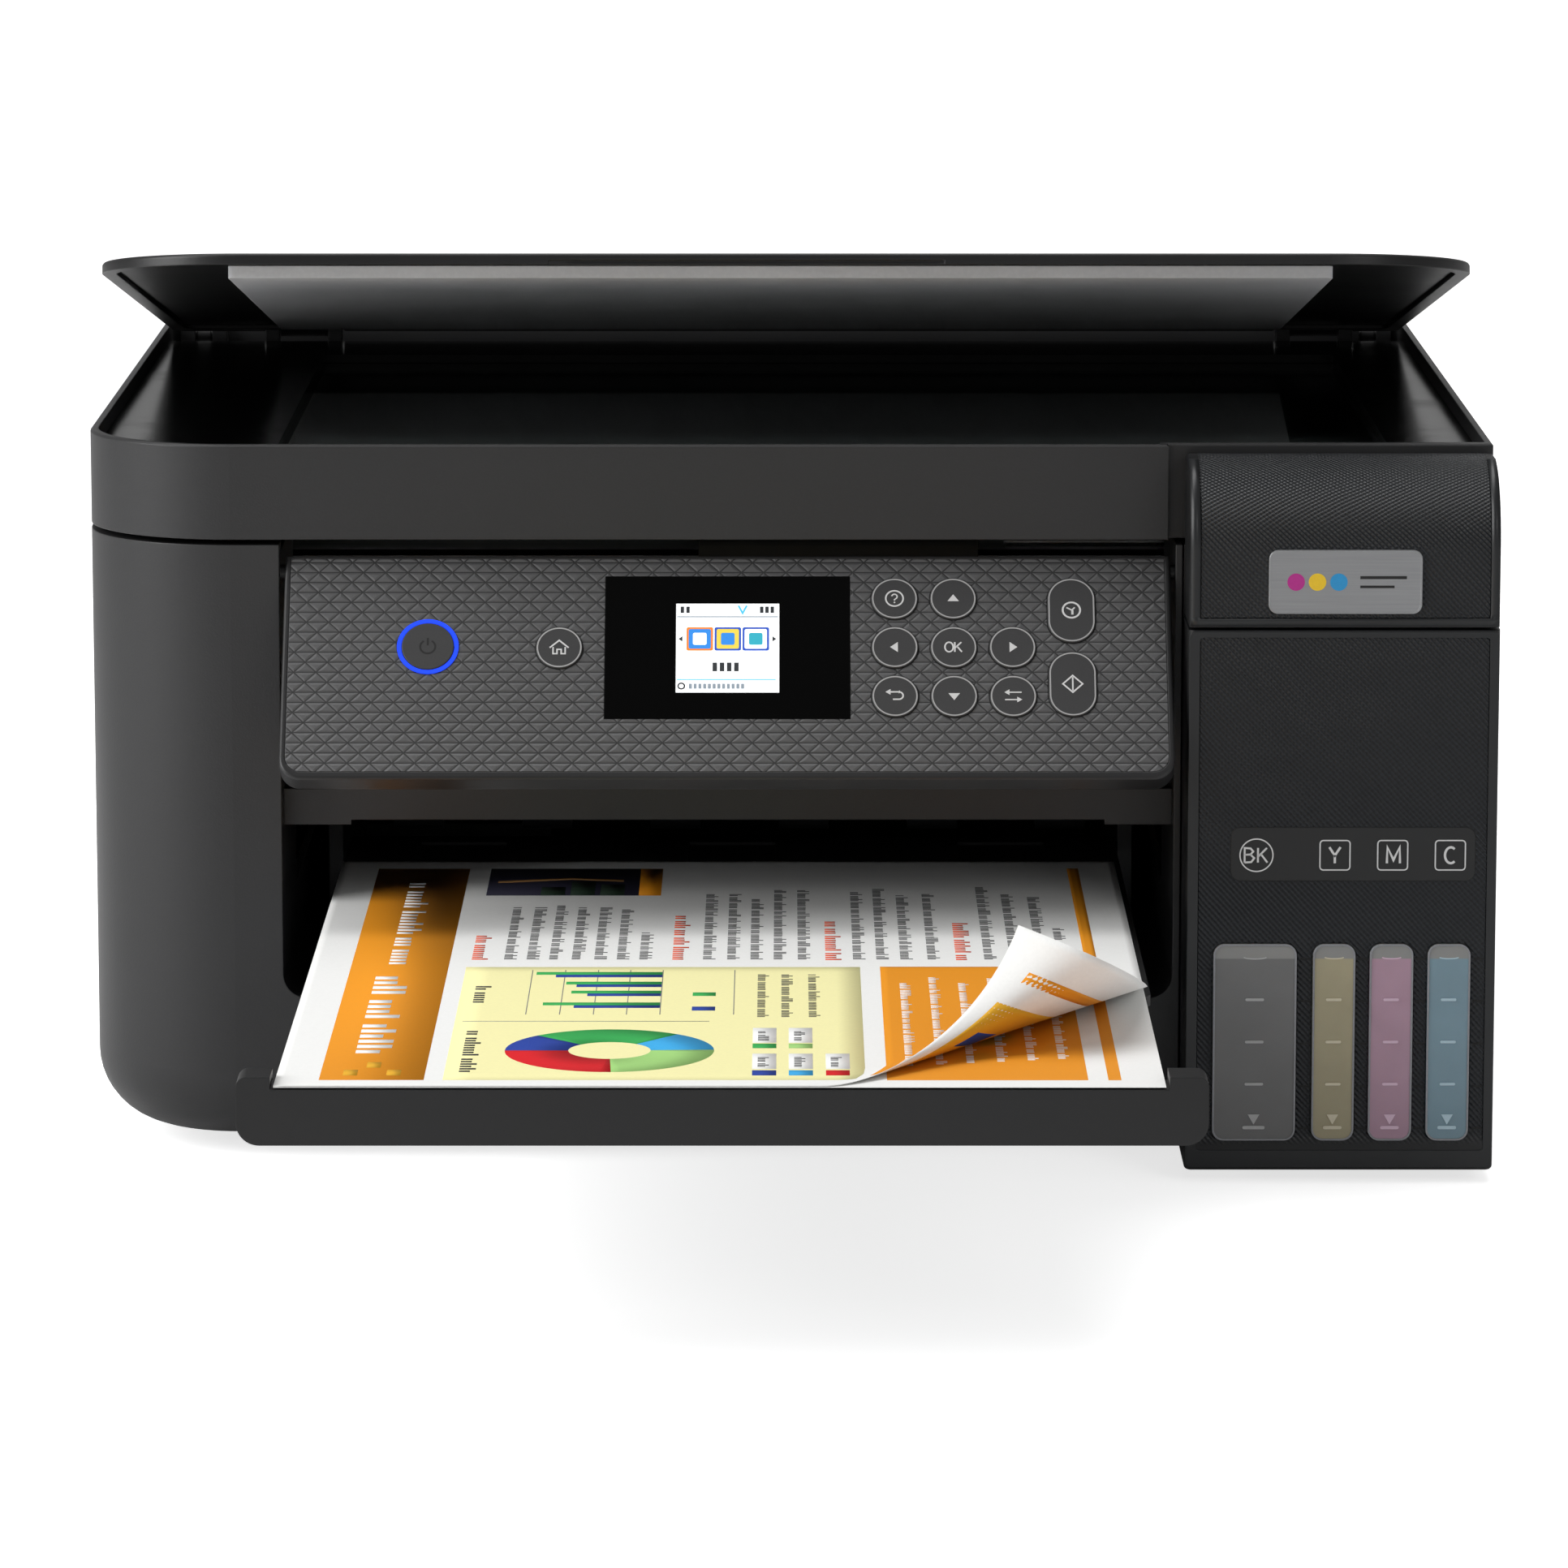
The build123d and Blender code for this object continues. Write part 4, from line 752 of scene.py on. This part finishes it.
# ---------------------------------------------------------------- printed sheets on the tray
SHEET_X = (sheet_low.x, sheet_high.x)
SHEET_Y = (sheet_low.y, sheet_high.y)
SHEET_TOP = sheet_high.z
LOWER_SHEET_TOP = sheet_low.z + 0.3
SHEET_THICKNESS = 0.12
CORNER = Vector((SHEET_X[1], SHEET_Y[0]))
FOLD_FRONT = Vector((9.2, SHEET_Y[0]))
FOLD_RIGHT = Vector((SHEET_X[1], -150.0))
TIP = (56.6, -223.9, 99.4)
FRONT_EDGE = [(*FOLD_FRONT, SHEET_TOP), (23.2, -275.9, SHEET_TOP), (46.5, -234.8, 75.0), TIP]
RIGHT_EDGE = [(*FOLD_RIGHT, SHEET_TOP), (SHEET_X[1], -166.3, SHEET_TOP), (93.9, -274.0, 93.8), TIP]


def bezier(points, t):
    first, second, third, fourth = (Vector(p) for p in points)
    return (first * (1 - t) ** 3 + second * 3 * t * (1 - t) ** 2
            + third * 3 * t * t * (1 - t) + fourth * t ** 3)


def curled_surface(x, y):
    """The top sheet's upper side: flat behind the fold, and rolled up towards TIP in front of it."""
    spot = Vector((x, y))
    run = (FOLD_RIGHT - FOLD_FRONT).normalized()
    ahead = Vector((run.y, -run.x))
    depth = (spot - FOLD_FRONT).dot(ahead) / (CORNER - FOLD_FRONT).dot(ahead)
    if depth <= 0:
        return Vector((x, y, SHEET_TOP))
    depth = min(depth, 1.0)
    left = FOLD_FRONT.lerp(CORNER, depth)
    right = FOLD_RIGHT.lerp(CORNER, depth)
    width = (right - left).length
    across = (spot - left).length / width if width > 0.01 else 0.5
    return bezier(FRONT_EDGE, depth).lerp(bezier(RIGHT_EDGE, depth), min(1.0, max(0.0, across)))


def on_top_sheet(x, y, height):
    here = curled_surface(x, y)
    step = 0.4
    sideways = curled_surface(x - step, y) - here
    onwards = curled_surface(x, y + step) - here
    return (here + onwards.cross(sideways).normalized() * height) * MM


def under_top_sheet(x, y, height):
    return on_top_sheet(x, y, -SHEET_THICKNESS - height)


def on_lower_sheet(x, y, height):
    return Vector((x, y, LOWER_SHEET_TOP + height)) * MM


def text_lines(x, y, size, letter=1.5):
    """Bars the size of letters in words along a line that runs in Y, from y[0] to y[1]."""
    bars, place = [], y[0]
    while place < y[1] - letter:
        for _ in range(random.randint(3, 8)):
            if place > y[1] - letter:
                break
            tall = size * random.choice((0.6, 0.6, 0.62, 0.9))
            bars.append(rectangle((x - size * 0.5, x - size * 0.5 + tall), (place, place + letter * 0.62)))
            place += letter
        place += letter * 0.9
    return bars


def pie(centre, inner, outer, start, end):
    """One slice of a ring chart, from start to end in degrees."""
    steps = max(4, int((end - start) / 6))
    turns = [start + (end - start) * i / steps for i in range(steps + 1)]
    return [[*circle(centre, outer, a, b, 1), *reversed(circle(centre, inner, a, b, 1))]
            for a, b in zip(turns, turns[1:])]


PRINT_COLOURS = {
    "orange": "#e8941a", "yellow": "#f8f2b4", "red": "#e8501e", "text": "#3c3c3e", "green": "#34a853",
    "navy": "#24419c", "cyan": "#3aa6e0", "lime": "#9fd07a", "crimson": "#d0141e", "white": "#f6f6f4",
    "amber": "#e0a828", "picture": "#2b2a3c", "sand": "#b98a55", "forest": "#26382b", "grey": "#8a8a86",
}
PRINT = {name: paper_finish(f"print_{name}", code) for name, code in PRINT_COLOURS.items()}
OVER = 0.04                   # height of ink that is printed over a coloured area


def page_print(sheet, place, smooth, front_only=False):
    """Everything printed on one sheet."""
    def lay(name, faces, colour, height=0.02):
        ink = PRINT[colour]
        stamp(f"{sheet}_{name}", faces, place, height, ink, "printed_sheets", 0.015, smooth)

    lay("orange_block", grid((24.0, 72.0), (-270.0, -131.4), 24, 64), "orange")
    lay("right_rule", grid((76.8, 79.9), (-270.0, 8.0), 3, 130), "orange")
    block_text = [bar for x in (30.2, 37.6, 45.0, 52.4, 59.8, 67.2)
                  for bar in text_lines(x, (-262 + (x % 7) * 4, -152 + (x % 5) * 3), 3.0)]
    lay("block_text", block_text, "white", OVER)
    if front_only:
        return
    lay("orange_band", grid((-111.4, -86.4), (-271.2, 7.5), 1, 1), "orange")
    band_text = text_lines(-99.6, (-240, -141), 9.5, 6.2)
    band_text += text_lines(-98.4, (-128, -10), 7.0, 4.2)
    lay("band_text", band_text, "white", OVER)
    lay("band_mark", [rectangle((-106.0 + i * 5.2, -102.6 + i * 5.2), (-266 + j * 9, -259.5 + j * 9))
                      for i in range(3) for j in range(2) if (i + j) % 2 == 0], "amber", OVER)
    lay("picture", grid((-80.6, -39.6), (-32.3, 7.5), 1, 1), "picture")
    light_streak = [(-78, -14), (-58, -9), (-44, -12), (-44, -9), (-58, -6), (-78, -11)]
    lay("picture_light", [light_streak], "sand", OVER)
    trees = [rectangle((x, x + 6.5), (-32.0, -20.0 + (x % 3) * 4)) for x in (-66, -58, -50)]
    lay("picture_trees", trees, "forest", OVER)
    lay("picture_tag", [rectangle((-39.6, -33.6), (-32.3, 7.5))], "orange")
    heading_runs = ((-78.6, -122, -88), (-27.0, -122, -60), (12.4, -122.5, -66), (46.0, -122.5, -70))
    headings = [bar for x, start, end in heading_runs for bar in text_lines(x, (start, end), 4.6, 2.6)]
    lay("headings", headings, "red")
    body_text = []
    for x in (-70.8, -65.0, -59.2, -53.4, -47.6, -41.8):
        body_text += text_lines(x, (-121.5, -44 - random.random() * 8), 3.6)
    body_text += text_lines(-36.0, (-121.5, -84), 3.6)
    for x in (-19.6, -13.4, -7.4, -1.4, 4.8):
        body_text += text_lines(x, (-121.5, -20 - random.random() * 20), 3.6)
    for x in (19.0, 25.0, 31.2, 38.2):
        body_text += text_lines(x, (-121.5, -18 - random.random() * 16), 3.6)
    for x in (52.8, 59.4, 66.4):
        body_text += text_lines(x, (-121.5 + (x - 52.8) * 2.6, -18 - random.random() * 16), 3.6)
    body_text += text_lines(71.6, (-95, -78), 3.4)
    lay("text", body_text, "text")
    lay("yellow_block", grid((-81.9, 18.9), (-271.2, -131.8), 16, 20), "yellow")
    block_headings = text_lines(-76.2, (-262, -212), 4.4, 2.8) + text_lines(-76.2, (-178, -154), 4.4, 2.8)
    lay("block_headings", block_headings, "text", OVER)
    slices = (("a", "cyan", 2, 50), ("b", "green", 50, 135), ("c", "navy", 135, 180),
              ("d", "crimson", 180, 272), ("e", "lime", 272, 362))
    for name, colour, start, end in slices:
        lay(f"pie_{name}", pie((-42.9, -236.7), 10.0, 25.4, start, end), colour, OVER)
    bars = ((-63.6, -58.6, -140.4), (-55.7, -53.0, -153.1), (-54.1, -50.0, -164.7), (-60.8, -53.0, -179.7))
    lay("bars_green", [rectangle((end, -31.5), (y - 1.7, y + 1.9)) for end, _, y in bars], "green", OVER)
    lay("bars_navy", [rectangle((end, -31.5), (y - 5.0, y - 1.7)) for _, end, y in bars], "navy", OVER)
    rules = [rectangle((x, x + 0.25), (-193, -136)) for x in (-64.8, -56.4, -48.0, -39.8, -31.5, -13.2)]
    rules.append(rectangle((-80, -19), (-201.6, -201.0)))
    lay("rules", rules, "grey", 0.035)
    key_green = [rectangle((-23.5, -17.7), (-169.5, -165.0)), rectangle((-8.2, -2.4), (-234, -228.5))]
    key_navy = [rectangle((-23.5, -17.7), (-188, -183)), rectangle((-8.2, -2.4), (-266, -260))]
    lay("key_green", key_green, "green", OVER)
    lay("key_navy", key_navy, "navy", OVER)
    lay("key_lime", [rectangle((0.6, 6.4), (-234, -228.5))], "lime", OVER)
    lay("key_cyan", [rectangle((0.6, 6.4), (-266, -260))], "cyan", OVER)
    lay("key_red", [rectangle((9.5, 15.2), (-266, -260))], "crimson", OVER)
    card_places = ((-8.2, -227.5), (0.6, -227.5), (-8.2, -258.5), (0.6, -258.5), (9.5, -258.5))
    lay("key_cards", [rectangle((x, x + 5.8), (y, y + 18)) for x, y in card_places], "white", OVER)
    text_places = ((-5.4, -225), (3.4, -225), (-5.4, -256), (3.4, -256), (12.2, -256))
    key_text = [bar for x, y in text_places for bar in text_lines(x, (y, y + 12), 3.0)]
    lay("key_text", key_text, "text", 0.055)
    note_text = [bar for x in (-5.6, 0.4, 7.2) for bar in text_lines(x, (-196, -140), 3.2)]
    lay("note_text", note_text, "text", OVER)


def bare_sheet(name, place, columns, rows, smooth):
    """The paper of one sheet, in place of the plain slab."""
    cells = grid(SHEET_X, SHEET_Y, columns, rows)
    piece = stamp(name, cells, place, 0.0, FINISHES["paper"], "printed_sheets", SHEET_THICKNESS,
                  smooth)
    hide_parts("printed_sheets")
    return piece


bare_sheet("top_sheet", on_top_sheet, 106, 148, True)
bare_sheet("lower_sheet", on_lower_sheet, 2, 2, False)
page_print("top_page", on_top_sheet, True)
page_print("lower_page", on_lower_sheet, False, front_only=True)


def lay_under(name, faces, colour, height=0.02):
    ink = PRINT[colour]
    stamp(f"underside_{name}", faces, under_top_sheet, height, ink, "printed_sheets", 0.015, True)


lay_under("rule", grid((76.8, 80.2), (-268.0, -172.0), 3, 40), "orange")
lay_under("block", grid((34.0, 69.5), (-270.0, -196.0), 18, 36), "amber")
navy_marks = grid((50.0, 58.0), (-262.0, -246.0), 6, 8) + grid((50.0, 58.0), (-236.0, -221.0), 6, 8)
lay_under("marks", navy_marks, "navy", OVER)

# ---------------------------------------------------------------- studio
CAMERA_PLACE = (-0.000547, -2.0689, 0.4520)
CAMERA_DOWN = 9.77
lens = bpy.data.cameras.new("camera")
lens.lens = 177.02
lens.sensor_width = 36
camera = bpy.data.objects.new("camera", lens)
camera.location = CAMERA_PLACE
camera.rotation_euler = (radians(90 - CAMERA_DOWN), 0, 0)
bpy.context.scene.collection.objects.link(camera)
bpy.context.scene.camera = camera


def studio_floor():
    """A pale floor that curves up into the backdrop, lit from within so that shadows on it are faint."""
    profile = [(-6.0, 0.0), (2.0, 0.0)]
    profile += [(2.0 + 1.5 * sin(radians(a)), 1.5 - 1.5 * cos(radians(a))) for a in range(9, 91, 9)]
    profile.append((3.5, 6.0))
    vertices = [(x, y, z) for y, z in profile for x in (-6.0, 6.0)]
    faces = [[2 * i, 2 * i + 1, 2 * i + 3, 2 * i + 2] for i in range(len(profile) - 1)]
    mesh = bpy.data.meshes.new("studio_floor")
    mesh.from_pydata(vertices, [], faces)
    finish = Finish("studio_white", Roughness=0.9, Specular_IOR_Level=0.1)
    finish.set("Base Color", finish.mix(finish.noise(400, 2), shade("#f4f4f4", 1.0), shade("#fafafa", 1.0)))
    seen = finish.add("ShaderNodeLightPath").outputs["Is Camera Ray"]
    finish.set("Emission Color", (1, 1, 1, 1))
    finish.set("Emission Strength", finish.math("MULTIPLY", seen, 0.72))
    mesh.materials.append(finish.material)
    for polygon in mesh.polygons:
        polygon.use_smooth = True
    floor = bpy.data.objects.new("studio_floor", mesh)
    bpy.context.scene.collection.objects.link(floor)


def softbox(name, place, target, size, power):
    """A rectangular light in metres and watts, turned towards a target."""
    light = bpy.data.lights.new(name, "AREA")
    light.shape = "RECTANGLE"
    light.size, light.size_y = size
    light.energy = power
    lamp = bpy.data.objects.new(name, light)
    lamp.location = place
    lamp.rotation_euler = (Vector(target) - Vector(place)).to_track_quat("-Z", "Y").to_euler()
    bpy.context.scene.collection.objects.link(lamp)


studio_floor()
PRINTER_MIDDLE = (0, 0, 0.1)
softbox("key_light", (-1.3, -0.5, 0.8), PRINTER_MIDDLE, (0.9, 1.1), 17)
softbox("fill_light", (1.6, -2.6, 1.5), PRINTER_MIDDLE, (1.2, 1.0), 9)
softbox("top_light", (-0.2, 0.5, 2.3), PRINTER_MIDDLE, (2.2, 1.2), 30)


def studio_world():
    """White behind the object, and a much dimmer white light from all round it."""
    world = bpy.data.worlds.new("studio")
    world.use_nodes = True
    nodes, links = world.node_tree.nodes, world.node_tree.links
    around = nodes["Background"]
    around.inputs["Color"].default_value = (1, 1, 1, 1)
    around.inputs["Strength"].default_value = 0.27
    seen = nodes.new("ShaderNodeBackground")
    seen.inputs["Color"].default_value = (1, 1, 1, 1)
    choice = nodes.new("ShaderNodeMixShader")
    links.new(nodes.new("ShaderNodeLightPath").outputs["Is Camera Ray"], choice.inputs[0])
    links.new(around.outputs[0], choice.inputs[1])
    links.new(seen.outputs[0], choice.inputs[2])
    links.new(choice.outputs[0], nodes["World Output"].inputs["Surface"])
    bpy.context.scene.world = world


studio_world()
bpy.context.scene.view_settings.view_transform = "Standard"
